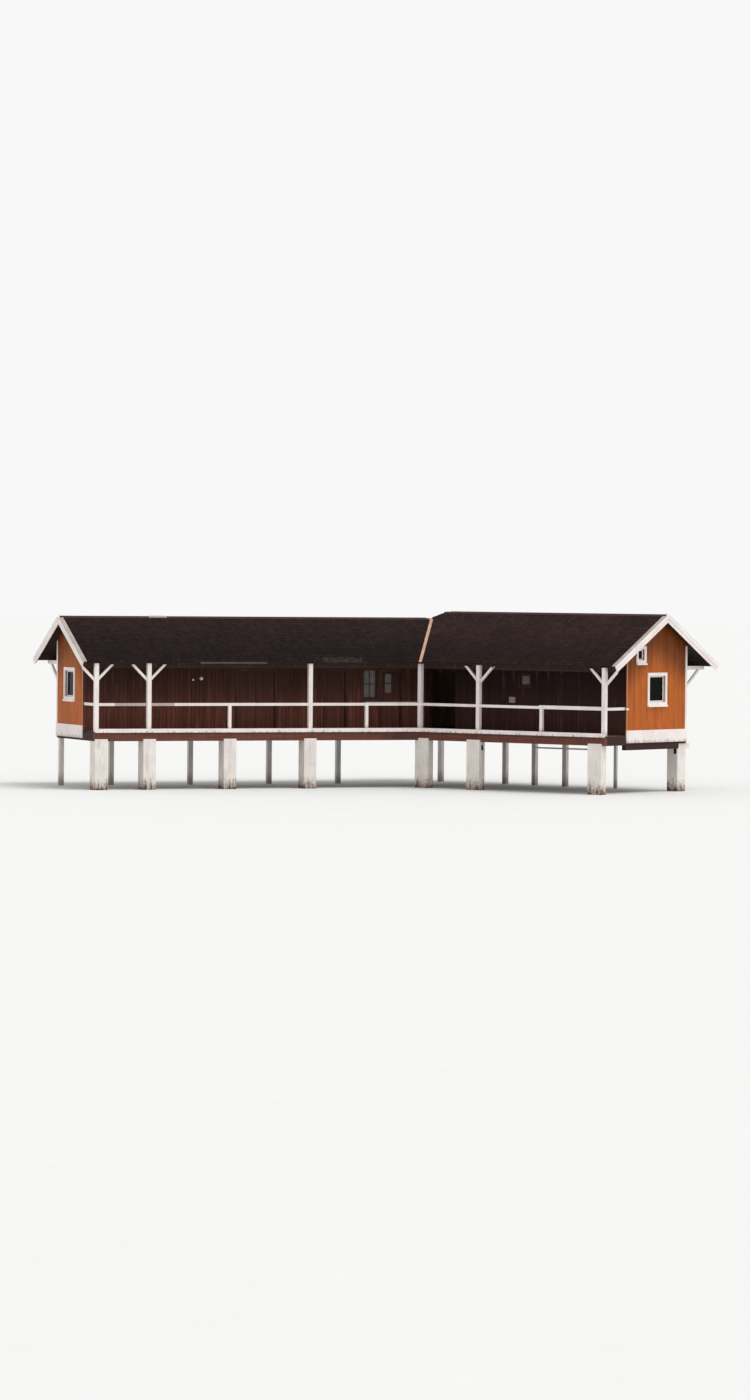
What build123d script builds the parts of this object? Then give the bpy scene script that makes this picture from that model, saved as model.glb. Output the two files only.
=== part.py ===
from build123d import *
import math
import os

os.makedirs("parts", exist_ok=True)

# Boathouse on piers, in millimetres. Two wings meet at a bend. The long wing B runs along +X and
# the long wing A runs off to the left, turned by the bend angle. Z = 0 is the foot of the piers.

# Plan
BEND = 60.0
WING_A = 13300.0
WING_B = 8800.0
GALLERY = 1300.0
ROOM_A = 3100.0
ROOM_B = 4000.0
OVERHANG = 1420.0
VERGE = 470.0
EAVE_OUT = 120.0

# Levels
PIER_TOP = 1840.0
BEAM_H = 320.0
DECK_T = 40.0
EAVE_Z = 4840.0
DOOR_H = 2250.0
RAIL_TOP = 1045.0

# Roof
PITCH = 29.5
ROOF_T = 50.0
RAFTER_D = 80.0
RAFTER_W = 60.0
RIDGE_BOARD_T = 40.0
RIDGE_BOARD_H = 260.0
HIP_BOARD_T = 50.0
HIP_BOARD_H = 180.0
JOINT_GAP = 0.3

# Timber sections
WALL_T = 120.0
POST = 160.0
SHORT_POST = 120.0
RAIL_W = 90.0
RAIL_H = 75.0
TOE_T = 40.0
TOE_H = 150.0
BRACE = 90.0
BRACE_T = 80.0
BRACE_RUN = 500.0
PLATE_T = 80.0
PLATE_H = 200.0
BEAM_T = 180.0
CROSS_T = 120.0
CROSS_H = 200.0
JOIST_T = 70.0
ARM_T = 110.0
ARM_H = 140.0
ARM_RUN = 1200.0
STRUT_RUN = 800.0
STRUT_DROP = 620.0

# Piers and posts under the deck
PIER_B = (620.0, 340.0)
PIER_A = (500.0, 600.0)
CORNER_PIER = (480.0, 540.0)
REAR_POST = 180.0
SLIM_POST = 110.0
TIE_H = 60.0
TIE_Z = 1450.0
PIER_LIP_T = 50.0
PIER_LIP_H = 80.0
NIB_OUT = 330.0
NIB_H = 190.0

# Doors and windows: places from the bend, widths, and heights over the floor
DOOR_1_PLACE = (-1100.0, -300.0)
SINGLE_DOOR_W = 840.0
DOUBLE_DOOR_W = 1530.0
PASSAGE = (-550.0, 700.0)
SIDE_LIGHT = (780.0, 200.0)
SIDE_LIGHT_Z = (1200.0, 2340.0)
SMALL_WINDOW_W = 470.0
SMALL_WINDOW_Z = (1800.0, 2220.0)
BACK_WINDOW_W = 800.0
BACK_WINDOW_Z = (1100.0, 2100.0)
GABLE_WINDOW_W = 1040.0
GABLE_WINDOW_Z = (1250.0, 2250.0)
UPPER_SIDE = 410.0
UPPER_RISE = 210.0
SLOT_X = (170.0, 440.0)
SLOT_DROP = (830.0, 90.0)
LEAF_T = 45.0
CLEAR = 8.0
HINGE_OUT = 18.0
KNUCKLE_R = 9.5
PIN_R = 6.0
PIN_GAP = 0.08
KNUCKLE_H = 45.0
HINGE_PLATE = (55.0, 4.0, 90.0)
CASING_W = 90.0
CASING_T = 20.0
FRAME_W = 55.0
FRAME_T = 60.0
GLASS_T = 8.0
GLASS_IN = 10.0
MID_SASH = 70.0

# Levels and offsets that follow
SLOPE = math.tan(math.radians(PITCH))
COS_PITCH = math.cos(math.radians(PITCH))
ROOF_DROP = ROOF_T / COS_PITCH
RAFTER_DROP = RAFTER_D / COS_PITCH
BEAM_TOP = PIER_TOP + BEAM_H
FLOOR = BEAM_TOP + DECK_T
CROSS_TOP = PIER_TOP + CROSS_H
DOOR_TOP = FLOOR + DOOR_H
HALF_A = (GALLERY + EAVE_OUT + ROOM_A + OVERHANG) / 2
HALF_B = (GALLERY + EAVE_OUT + ROOM_B + OVERHANG) / 2
RIDGE_V = HALF_A - EAVE_OUT
RIDGE_Y = HALF_B - EAVE_OUT
BACK_A = GALLERY + ROOM_A
BACK_B = GALLERY + ROOM_B
SIN_BEND = math.sin(math.radians(BEND))
COS_BEND = math.cos(math.radians(BEND))
MITRE = math.tan(math.radians(BEND / 2))


def box(x0, x1, y0, y1, z0, z1):
    """Block between two corners."""
    centre = Pos((x0 + x1) / 2, (y0 + y1) / 2, (z0 + z1) / 2)
    return centre * Box(abs(x1 - x0), abs(y1 - y0), abs(z1 - z0))


def prism(points, sweep):
    """Solid swept along a vector from the flat polygon through the points."""
    return Solid.extrude(Face(Wire.make_polygon(points)), Vector(*sweep))


def plan(points, z0, z1):
    """Upright solid over a polygon given in plan."""
    return prism([(x, y, z0) for x, y in points], (0, 0, z1 - z0))


def along_x(profile, x0, x1):
    """Solid with a (y, z) profile between two places along X."""
    return prism([(x0, y, z) for y, z in profile], (x1 - x0, 0, 0))


def along_y(profile, y0, y1):
    """Solid with an (x, z) profile between two places along Y."""
    return prism([(x, y0, z) for x, z in profile], (0, y1 - y0, 0))


def turned(shape):
    """Piece drawn along X for wing A, turned to where that wing lies."""
    return Rot(0, 0, BEND) * shape


def wing_a_point(u, v):
    """Plan point of wing A in the frame of the whole building."""
    return (COS_BEND * u - SIN_BEND * v, SIN_BEND * u + COS_BEND * v)


def save(name, shapes):
    """Write one named piece made of the given solids."""
    solids = [solid for shape in shapes for solid in shape.solids()]
    export_step(Compound(children=solids), f"parts/{name}.step")


# Plan corners of the roof. The two ridges, the valleys and the hip meet at one point.
EAVE_CORNER = (EAVE_OUT * MITRE, -EAVE_OUT)
RIDGE_END_A = wing_a_point(RIDGE_V * MITRE, RIDGE_V)
HIP_EAVE = RIDGE_END_A[0] - HALF_A
RIDGE_START_B = (HIP_EAVE + HALF_B, RIDGE_Y)
WALL_LEFT_B = HIP_EAVE + OVERHANG
BACK_EAVE_A = BACK_A + OVERHANG
BACK_EAVE_B = BACK_B + OVERHANG
VALLEY_FOOT = (HIP_EAVE, (BACK_EAVE_A + SIN_BEND * HIP_EAVE) / COS_BEND)
WALL_CORNER = (WALL_LEFT_B, (BACK_A + SIN_BEND * WALL_LEFT_B) / COS_BEND)
END_A = -WING_A - VERGE
END_B = WING_B + VERGE

PLAN_A_FRONT = [wing_a_point(END_A, -EAVE_OUT), EAVE_CORNER, RIDGE_END_A, wing_a_point(END_A, RIDGE_V)]
PLAN_A_BACK = [wing_a_point(END_A, RIDGE_V), RIDGE_END_A, VALLEY_FOOT, wing_a_point(END_A, BACK_EAVE_A)]
PLAN_B_FRONT = [
    EAVE_CORNER,
    (END_B, -EAVE_OUT),
    (END_B, RIDGE_Y),
    RIDGE_START_B,
    RIDGE_END_A,
]
PLAN_B_BACK = [RIDGE_START_B, (END_B, RIDGE_Y), (END_B, BACK_EAVE_B), (HIP_EAVE, BACK_EAVE_B)]
PLAN_HIP = [RIDGE_END_A, RIDGE_START_B, (HIP_EAVE, BACK_EAVE_B), VALLEY_FOOT]


def roof_front(y):
    """Height of the roof surface over a place on a front slope."""
    return EAVE_Z + (y + EAVE_OUT) * SLOPE


def roof_back(y, eave):
    """Height of the roof surface over a place on a back slope with its eave at the given place."""
    return EAVE_Z + (eave - y) * SLOPE


def slab(y0, z0, y1, z1, drop0, drop1, x0, x1):
    """Sloping slab along X between two depths below the roof surface."""
    profile = [(y0, z0 - drop1), (y1, z1 - drop1), (y1, z1 - drop0), (y0, z0 - drop0)]
    return along_x(profile, x0, x1)


def front_slab(drop0, drop1, x0, x1, ridge):
    """Layer of a front slope from eave to ridge."""
    return slab(-EAVE_OUT, EAVE_Z, ridge, roof_front(ridge), drop0, drop1, x0, x1)


def back_slab(drop0, drop1, x0, x1, ridge, eave):
    """Layer of a back slope from ridge to eave."""
    return slab(ridge, roof_back(ridge, eave), eave, EAVE_Z, drop0, drop1, x0, x1)


def hip_slab(drop0, drop1, y0, y1):
    """Layer of the hip slope from its eave inwards, as wide as the given stretch of Y."""
    x1 = HIP_EAVE + HALF_B
    top = EAVE_Z + HALF_B * SLOPE
    profile = [
        (HIP_EAVE, EAVE_Z - drop1),
        (x1, top - drop1),
        (x1, top - drop0),
        (HIP_EAVE, EAVE_Z - drop0),
    ]
    return along_y(profile, y0, y1)


CLIP_TOP = 9000.0


def over(points):
    """Upright block over a plan polygon, tall enough to cut any roof piece to it."""
    return plan(points, 0, CLIP_TOP)


# Long enough to reach under the other wing's roof before being cut back to the valley.
REACH = BACK_EAVE_B

# Roof slopes
save("roof_a_front", [turned(front_slab(0, ROOF_DROP, END_A, REACH, RIDGE_V)) & over(PLAN_A_FRONT)])
save(
    "roof_a_back",
    [turned(back_slab(0, ROOF_DROP, END_A, REACH, RIDGE_V, BACK_EAVE_A)) & over(PLAN_A_BACK)],
)
save("roof_b_front", [front_slab(0, ROOF_DROP, -REACH, END_B, RIDGE_Y) & over(PLAN_B_FRONT)])
save(
    "roof_b_back",
    [back_slab(0, ROOF_DROP, HIP_EAVE, END_B, RIDGE_Y, BACK_EAVE_B) & over(PLAN_B_BACK)],
)
save("roof_hip", [hip_slab(0, ROOF_DROP, 0, BACK_EAVE_B) & over(PLAN_HIP)])

# Boards under the hips and valleys, stopped short of the point where the ridges meet
UNDER_RAFTER = ROOF_DROP + RAFTER_DROP
JUNCTION_CLEAR = 90.0
HIP_FOOT = (HIP_EAVE, BACK_EAVE_B)


def line_strip(start, end, width, trim0, trim1):
    """Plan outline of a straight strip, shortened at its two ends."""
    length = math.hypot(end[0] - start[0], end[1] - start[1])
    dx = (end[0] - start[0]) / length
    dy = (end[1] - start[1]) / length
    x0 = start[0] + dx * trim0
    y0 = start[1] + dy * trim0
    x1 = end[0] - dx * trim1
    y1 = end[1] - dy * trim1
    wx = -dy * width / 2
    wy = dx * width / 2
    return [(x0 + wx, y0 + wy), (x1 + wx, y1 + wy), (x1 - wx, y1 - wy), (x0 - wx, y0 - wy)]


def hip_layers(drop0, drop1):
    """One layer of all five slopes, each cut to its outline in plan."""
    return {
        "a_front": turned(front_slab(drop0, drop1, END_A, REACH, RIDGE_V)) & over(PLAN_A_FRONT),
        "a_back": turned(back_slab(drop0, drop1, END_A, REACH, RIDGE_V, BACK_EAVE_A)) & over(PLAN_A_BACK),
        "b_front": front_slab(drop0, drop1, -REACH, END_B, RIDGE_Y) & over(PLAN_B_FRONT),
        "b_back": back_slab(drop0, drop1, HIP_EAVE, END_B, RIDGE_Y, BACK_EAVE_B) & over(PLAN_B_BACK),
        "hip": hip_slab(drop0, drop1, 0, BACK_EAVE_B) & over(PLAN_HIP),
    }


HIP_LAYERS = hip_layers(ROOF_DROP, ROOF_DROP + HIP_BOARD_H)


def hip_board(start, end, side_a, side_b, trim0=0.0):
    """Upright board along a hip or valley, its top fitted under the two slopes that meet there."""
    strip = over(line_strip(start, end, HIP_BOARD_T, trim0, JUNCTION_CLEAR))
    return (HIP_LAYERS[side_a] & strip) + (HIP_LAYERS[side_b] & strip)


HIP_LINES = [(EAVE_CORNER, RIDGE_END_A), (VALLEY_FOOT, RIDGE_END_A), (HIP_FOOT, RIDGE_START_B)]
BOARD_CLEAR = 5.0
VALLEY_START = (EAVE_OUT + POST / 2 + PLATE_T + BOARD_CLEAR) / math.cos(math.radians(BEND / 2))
HIP_BOARDS = [
    hip_board(EAVE_CORNER, RIDGE_END_A, "a_front", "b_front", VALLEY_START),
    hip_board(VALLEY_FOOT, RIDGE_END_A, "a_back", "hip"),
    hip_board(HIP_FOOT, RIDGE_START_B, "b_back", "hip"),
]
save("hip_boards", HIP_BOARDS)
HIP_CUTS = [over(line_strip(a, b, HIP_BOARD_T, 0, 0)) for a, b in HIP_LINES]

# Rafters between the eaves and the ridge boards, kept clear of the gallery posts and gable walls
BAYS_B = 10
BAYS_A = 14
BAYS_HIP = 4
END_RAFTER_IN = 70.0
RAFTERS_B = [WING_B * i / BAYS_B for i in range(-4, BAYS_B) if i] + [END_B - END_RAFTER_IN]
RAFTERS_A = [-WING_A * (i + 0.5) / BAYS_A for i in range(-2, BAYS_A)] + [END_A + END_RAFTER_IN]
HIP_WIDTH = BACK_EAVE_B - VALLEY_FOOT[1]
HIP_RAFTERS = [VALLEY_FOOT[1] + HIP_WIDTH * (i + 0.5) / BAYS_HIP for i in range(BAYS_HIP)]
SMALLEST_CUT = 1e6


def region(points):
    """Plan outline of a slope without the boards along its hips and valleys."""
    block = over(points)
    for cut in HIP_CUTS:
        block = block - cut
    return block


def rafter_row(places, layer, outline, turn):
    """Rafters under one slope, each cut back to the slope's outline in plan."""
    block = region(outline)
    pieces = []
    for place in places:
        rafter = layer(place - RAFTER_W / 2, place + RAFTER_W / 2)
        rafter = turned(rafter) if turn else rafter
        cut = rafter & block
        pieces += cut.solids() if cut else []
    return [piece for piece in pieces if piece.volume > SMALLEST_CUT]


RIDGE_SIDE = RIDGE_BOARD_T / 2


def front_rafter(ridge):
    """Function that draws one rafter of a front slope between two places."""
    return lambda a, b: front_slab(ROOF_DROP, UNDER_RAFTER, a, b, ridge - RIDGE_SIDE)


def back_rafter(ridge, eave):
    """Function that draws one rafter of a back slope between two places."""
    return lambda a, b: back_slab(ROOF_DROP, UNDER_RAFTER, a, b, ridge + RIDGE_SIDE, eave)


def hip_rafter(a, b):
    """One rafter of the hip slope between two places."""
    return hip_slab(ROOF_DROP, UNDER_RAFTER, a, b)


save(
    "rafters_a",
    rafter_row(RAFTERS_A, front_rafter(RIDGE_V), PLAN_A_FRONT, True)
    + rafter_row(RAFTERS_A, back_rafter(RIDGE_V, BACK_EAVE_A), PLAN_A_BACK, True),
)
save(
    "rafters_b",
    rafter_row(RAFTERS_B, front_rafter(RIDGE_Y), PLAN_B_FRONT, False)
    + rafter_row(RAFTERS_B, back_rafter(RIDGE_Y, BACK_EAVE_B), PLAN_B_BACK, False)
    + rafter_row(HIP_RAFTERS, hip_rafter, PLAN_HIP, False),
)


# Ridge boards between the rafters of the two sides, from the gable walls to the bend
def ridge_board(x0, x1, y, surface):
    """Upright board under the roof boards at the ridge."""
    peak = surface - ROOF_DROP
    side = peak - RIDGE_SIDE * SLOPE
    low = peak - RIDGE_BOARD_H
    profile = [
        (y - RIDGE_SIDE, low),
        (y + RIDGE_SIDE, low),
        (y + RIDGE_SIDE, side),
        (y, peak),
        (y - RIDGE_SIDE, side),
    ]
    return along_x(profile, x0, x1)


RIDGE_Z_A = roof_front(RIDGE_V)
RIDGE_Z_B = roof_front(RIDGE_Y)
GABLE_IN_A = -WING_A + WALL_T
GABLE_IN_B = WING_B - WALL_T
save(
    "ridge_boards",
    [
        turned(ridge_board(GABLE_IN_A, RIDGE_V * MITRE - JUNCTION_CLEAR, RIDGE_V, RIDGE_Z_A)),
        ridge_board(RIDGE_START_B[0], GABLE_IN_B, RIDGE_Y, RIDGE_Z_B),
        turned(ridge_board(END_A, -WING_A, RIDGE_V, RIDGE_Z_A)),
        ridge_board(WING_B, END_B, RIDGE_Y, RIDGE_Z_B),
    ],
)


# Ridge caps: a folded strip over each ridge and the hip
CAP_W = 130.0
CAP_T = 18.0


def ridge_cap(x0, x1, y, surface):
    """Folded strip lying over a level ridge."""
    rise = CAP_T / COS_PITCH
    profile = [
        (y - CAP_W, surface - CAP_W * SLOPE),
        (y, surface),
        (y + CAP_W, surface - CAP_W * SLOPE),
        (y + CAP_W, surface - CAP_W * SLOPE + rise),
        (y, surface + rise),
        (y - CAP_W, surface - CAP_W * SLOPE + rise),
    ]
    return along_x(profile, x0, x1)


save(
    "ridge_caps",
    [
        turned(ridge_cap(END_A, RIDGE_V * MITRE - 2 * CAP_W, RIDGE_V, RIDGE_Z_A)),
        ridge_cap(RIDGE_START_B[0] + CAP_W, END_B, RIDGE_Y, RIDGE_Z_B),
    ],
)

# Strips of sheet metal down the two valleys
VALLEY_W = 110.0
VALLEY_T = 8.0


def valley_strip(foot, head, side_a, side_b):
    """Folded sheet over a valley, a band of each neighbouring slope wide."""
    dx = head[0] - foot[0]
    dy = head[1] - foot[1]
    length = math.hypot(dx, dy)
    nx = -dy / length * VALLEY_W
    ny = dx / length * VALLEY_W
    left = [foot, head, (head[0] + nx, head[1] + ny), (foot[0] + nx, foot[1] + ny)]
    right = [foot, head, (head[0] - nx, head[1] - ny), (foot[0] - nx, foot[1] - ny)]
    return (side_a & over(left)) + (side_b & over(right))


SHEET_A_FRONT = turned(front_slab(-VALLEY_T, 0, -REACH, REACH, RIDGE_V)) & over(PLAN_A_FRONT)
SHEET_B_FRONT = front_slab(-VALLEY_T, 0, -REACH, REACH, RIDGE_Y) & over(PLAN_B_FRONT)
SHEET_A_BACK = turned(back_slab(-VALLEY_T, 0, -REACH, REACH, RIDGE_V, BACK_EAVE_A)) & over(PLAN_A_BACK)
SHEET_HIP = hip_slab(-VALLEY_T, 0, 0, BACK_EAVE_B) & over(PLAN_HIP)
save(
    "valley_strips",
    [
        valley_strip(EAVE_CORNER, RIDGE_END_A, SHEET_A_FRONT, SHEET_B_FRONT),
        valley_strip(VALLEY_FOOT, RIDGE_END_A, SHEET_HIP, SHEET_A_BACK),
    ],
)

# Bargeboards: a deep board with a narrower strip in front of its upper half
BARGE_D = 250.0
BARGE_T = 30.0
STRIP_D = 110.0
STRIP_T = 20.0


def barge(y_eave, y_ridge, x_face, out):
    """One bargeboard from eave to ridge, square at its foot, on the face that looks along out."""
    z_ridge = EAVE_Z + abs(y_ridge - y_eave) * SLOPE
    side = 1 if y_ridge > y_eave else -1
    sin_pitch = math.sin(math.radians(PITCH))
    cap = CAP_T / COS_PITCH

    def outline(depth):
        foot = (y_eave + side * depth * sin_pitch, EAVE_Z - depth * COS_PITCH)
        y_top = y_ridge - side * JOINT_GAP / 2
        return [
            (y_eave, EAVE_Z),
            foot,
            (y_top, z_ridge - depth / COS_PITCH),
            (y_top, z_ridge + cap),
            (y_eave, EAVE_Z + cap),
        ]

    board = along_x(outline(BARGE_D), x_face, x_face + out * BARGE_T)
    strip = along_x(outline(STRIP_D), x_face + out * BARGE_T, x_face + out * (BARGE_T + STRIP_T))
    return board + strip


save(
    "bargeboards",
    [
        barge(-EAVE_OUT, RIDGE_Y, END_B, 1),
        barge(BACK_EAVE_B, RIDGE_Y, END_B, 1),
        turned(barge(-EAVE_OUT, RIDGE_V, END_A, -1)),
        turned(barge(BACK_EAVE_A, RIDGE_V, END_A, -1)),
    ],
)


# Eave plates on the back of the gallery posts, with bevelled tops under the rafters
def front_plate(x0, x1):
    """Plate behind the gallery posts."""
    y0 = POST / 2
    y1 = y0 + PLATE_T
    low = roof_front(y0) - UNDER_RAFTER - PLATE_H
    profile = [
        (y0, low),
        (y1, low),
        (y1, roof_front(y1) - UNDER_RAFTER),
        (y0, roof_front(y0) - UNDER_RAFTER),
    ]
    return along_x(profile, x0, x1)


BEND_SLIT = over(line_strip(EAVE_CORNER, RIDGE_END_A, JOINT_GAP, -REACH, -REACH))
PLATE_A = (turned(front_plate(END_A, REACH)) & over(PLAN_A_FRONT)) - BEND_SLIT
PLATE_B = (front_plate(-REACH, END_B) & over(PLAN_B_FRONT)) - BEND_SLIT
save("eave_plates", [PLATE_A, PLATE_B])


# Gallery posts, their tops cut to the slope of the roof
def gallery_post(x, width):
    """Full-height post on the gallery edge."""
    half = width / 2
    profile = [
        (-half, FLOOR),
        (half, FLOOR),
        (half, roof_front(half) - ROOF_DROP),
        (-half, roof_front(-half) - ROOF_DROP),
    ]
    return along_x(profile, x - half, x + half)


# Places along the wings as shares of their length from the bend
POSTS_B = [0.320 * WING_B, WING_B - POST / 2]
POSTS_A = [-WING_A + POST / 2, -0.836 * WING_A, -0.344 * WING_A]
SHORT_B = [0.659 * WING_B]
SHORT_A = [-0.591 * WING_A, -0.169 * WING_A]
# The post at the bend stands between the plates of the two wings.
BEND_TOP = roof_front(-POST / 2) - ROOF_DROP
BEND_POST = box(-POST / 2, POST / 2, -POST / 2, POST / 2, FLOOR, BEND_TOP) - PLATE_A - PLATE_B
save(
    "gallery_posts",
    [gallery_post(x, POST) for x in POSTS_B]
    + [turned(gallery_post(x, POST)) for x in POSTS_A]
    + [BEND_POST],
)


# Braces from the posts up to the eave plate
BRACE_CLEAR = 20.0


def brace(x, side):
    """Slanting brace on one side of a gallery post, lapped over the plate's face."""
    start = x + side * POST / 2
    top = roof_front(0) - UNDER_RAFTER - BRACE_CLEAR
    foot = top - BRACE_RUN - BRACE * math.sqrt(2)
    profile = [
        (start, foot),
        (start, foot + BRACE * math.sqrt(2)),
        (start + side * BRACE_RUN, top),
        (start + side * (BRACE_RUN + BRACE * math.sqrt(2)), top),
    ]
    return along_y(profile, POST / 2 - BRACE_T, POST / 2)


save(
    "post_braces",
    [
        brace(POSTS_B[0], -1),
        brace(POSTS_B[0], 1),
        brace(POSTS_B[1], -1),
        brace(POSTS_B[1], 1) & box(0, END_B, -POST, POST, FLOOR, CLIP_TOP),
        turned(brace(POSTS_A[1], -1)),
        turned(brace(POSTS_A[1], 1)),
        turned(brace(POSTS_A[0], 1)),
        turned(brace(POSTS_A[0], -1) & box(END_A, 0, -POST, POST, FLOOR, CLIP_TOP)),
    ],
)

# Railing: rails between the posts, short posts under them, toe boards outside the deck
RAIL_Z1 = FLOOR + RAIL_TOP
RAIL_Z0 = RAIL_Z1 - RAIL_H


def rail(x0, x1):
    """Top rail between two places."""
    return box(x0, x1, -RAIL_W / 2, RAIL_W / 2, RAIL_Z0, RAIL_Z1)


def rails_between(stops):
    """Top rails in the gaps between posts at the given places."""
    half = POST / 2
    return [rail(a + half, b - half) for a, b in zip(stops[:-1], stops[1:])]


RAILS_B = rails_between([0.0] + POSTS_B)
END_RAIL_B = box(
    WING_B - POST / 2 - RAIL_W / 2, WING_B - POST / 2 + RAIL_W / 2, POST / 2, GALLERY, RAIL_Z0, RAIL_Z1
)
BEND_BLOCK = box(-POST / 2, POST / 2, -POST / 2, POST / 2, 0, CLIP_TOP)
RAILS_A = rails_between(POSTS_A)
LAST_RAIL_A = turned(rail(POSTS_A[-1] + POST / 2, 0)) - BEND_BLOCK
END_RAIL_A = box(
    -WING_A + POST / 2 - RAIL_W / 2, -WING_A + POST / 2 + RAIL_W / 2, POST / 2, GALLERY, RAIL_Z0, RAIL_Z1
)
save(
    "top_rails",
    RAILS_B + [END_RAIL_B, LAST_RAIL_A] + [turned(piece) for piece in RAILS_A + [END_RAIL_A]],
)


def short_post(x):
    """Low post that carries the top rail."""
    half = SHORT_POST / 2
    return box(x - half, x + half, -half, half, FLOOR, RAIL_Z0)


save("rail_posts", [short_post(x) for x in SHORT_B] + [turned(short_post(x)) for x in SHORT_A])

DECK_EDGE = -POST / 2


def corner_on_bend(y):
    """Plan point where a line at this distance from the post line meets the bend."""
    return (-y * MITRE, y)


def strip_b(y0, y1, z0, z1, end=WING_B):
    """Long piece of wing B cut to the bend."""
    return plan([corner_on_bend(y0), (end, y0), (end, y1), corner_on_bend(y1)], z0, z1)


def strip_a(y0, y1, z0, z1, end=WING_A):
    """Long piece of wing A cut to the bend."""
    points = [wing_a_point(-end, y0), corner_on_bend(y0), corner_on_bend(y1), wing_a_point(-end, y1)]
    return plan(points, z0, z1)


TOE_Z1 = BEAM_TOP + TOE_H
save(
    "toe_boards",
    [
        strip_b(DECK_EDGE - TOE_T, DECK_EDGE, BEAM_TOP, TOE_Z1) - BEND_SLIT,
        strip_a(DECK_EDGE - TOE_T, DECK_EDGE, BEAM_TOP, TOE_Z1) - BEND_SLIT,
    ],
)

# Floor boards of gallery and rooms, one layer per wing, meeting on a straight seam at the bend
FRONT_CORNER = corner_on_bend(DECK_EDGE)
DECK_PLAN_B = [
    FRONT_CORNER,
    (WING_B, DECK_EDGE),
    (WING_B, BACK_B),
    (WALL_LEFT_B, BACK_B),
    WALL_CORNER,
]
DECK_PLAN_A = [wing_a_point(-WING_A, DECK_EDGE), FRONT_CORNER, WALL_CORNER, wing_a_point(-WING_A, BACK_A)]
SEAM_SLIT = over(line_strip(FRONT_CORNER, WALL_CORNER, JOINT_GAP, -REACH, -REACH))
save(
    "deck",
    [
        plan(DECK_PLAN_A, BEAM_TOP, FLOOR) - SEAM_SLIT,
        plan(DECK_PLAN_B, BEAM_TOP, FLOOR) - SEAM_SLIT,
    ],
)

# Beams under the deck: along the front edge, the back and the ends
EDGE_OUT = 100.0
EDGE_IN = BEAM_T - EDGE_OUT
BACK_BEAM_A = turned(box(-WING_A, REACH, BACK_A - BEAM_T, BACK_A, PIER_TOP, BEAM_TOP)) & over(DECK_PLAN_A)
EDGE_BEAM_A = strip_a(-EDGE_OUT, EDGE_IN, PIER_TOP, BEAM_TOP) - BEND_SLIT
save(
    "long_beams",
    [
        EDGE_BEAM_A,
        strip_b(-EDGE_OUT, EDGE_IN, PIER_TOP, BEAM_TOP) - BEND_SLIT,
        BACK_BEAM_A - SEAM_SLIT,
        box(WALL_LEFT_B, WING_B, BACK_B - BEAM_T, BACK_B, PIER_TOP, BEAM_TOP),
    ],
)
END_BEAM_A = box(-WING_A, -WING_A + BEAM_T, EDGE_IN, BACK_A - BEAM_T, PIER_TOP, BEAM_TOP)
LEFT_BEAM = box(
    WALL_LEFT_B, WALL_LEFT_B + BEAM_T, WALL_CORNER[1] + 120, BACK_B - BEAM_T, PIER_TOP, BEAM_TOP
)
CORNER_X = WING_B - 50.0
CORNER_Y = BACK_B + 40.0
RIGHT_BEAM = box(WING_B - BEAM_T, WING_B, EDGE_IN, BACK_B - BEAM_T, PIER_TOP, BEAM_TOP)
LOWER_END_BEAM = box(
    WING_B - BEAM_T, WING_B, GALLERY, CORNER_Y - CORNER_PIER[1], PIER_TOP - NIB_H, PIER_TOP
)

# Cross beams between the front and back beams, and joists along the wings on top of them
CROSS_BAYS_B = 6
CROSS_BAYS_A = 8
CROSS_B = [WING_B * i / CROSS_BAYS_B for i in range(-1, CROSS_BAYS_B) if i]
CROSS_A = [-WING_A * i / CROSS_BAYS_A for i in range(1, CROSS_BAYS_A)]
CROSS_CLIP_B = over(DECK_PLAN_B)
CROSS_CLIP_A = over(DECK_PLAN_A)
cross_b = [
    box(x - CROSS_T / 2, x + CROSS_T / 2, EDGE_IN, BACK_B - BEAM_T, PIER_TOP, CROSS_TOP) & CROSS_CLIP_B
    for x in CROSS_B
]
cross_a = [
    turned(box(x - CROSS_T / 2, x + CROSS_T / 2, EDGE_IN, BACK_A - BEAM_T, PIER_TOP, CROSS_TOP))
    for x in CROSS_A
]
save("cross_beams", cross_a + cross_b + [turned(END_BEAM_A), LEFT_BEAM, RIGHT_BEAM + LOWER_END_BEAM])


def between(first, last, count):
    """Places that divide a stretch evenly."""
    return [first + (last - first) * (i + 1) / (count + 1) for i in range(count)]


JOISTS_A = between(EDGE_IN, BACK_A - BEAM_T, 5)
JOISTS_B = between(EDGE_IN, BACK_B - BEAM_T, 6)


def joist_b(y):
    """Joist of wing B, cut to the seam of the floor."""
    start = WALL_LEFT_B + BEAM_T
    bar = box(start, WING_B - BEAM_T, y - JOIST_T / 2, y + JOIST_T / 2, CROSS_TOP, BEAM_TOP)
    return bar & CROSS_CLIP_B


def joist_a(v):
    """Joist of wing A, cut to the seam of the floor."""
    bar = box(-WING_A + BEAM_T, REACH, v - JOIST_T / 2, v + JOIST_T / 2, CROSS_TOP, BEAM_TOP)
    return turned(bar) & CROSS_CLIP_A


save("joists", [joist_a(v) for v in JOISTS_A] + [joist_b(y) for y in JOISTS_B])

# Concrete piers under the front edge and the right back corner
PIER_FRONT = -EDGE_OUT - PIER_LIP_T


def front_pier(x, size):
    """Pier whose front face rises a little over the edge beam's lower edge."""
    x0 = x - size[0] / 2
    x1 = x + size[0] / 2
    lip = box(x0, x1, PIER_FRONT, -EDGE_OUT, PIER_TOP, PIER_TOP + PIER_LIP_H)
    return box(x0, x1, PIER_FRONT, PIER_FRONT + size[1], 0, PIER_TOP) + lip


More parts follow.
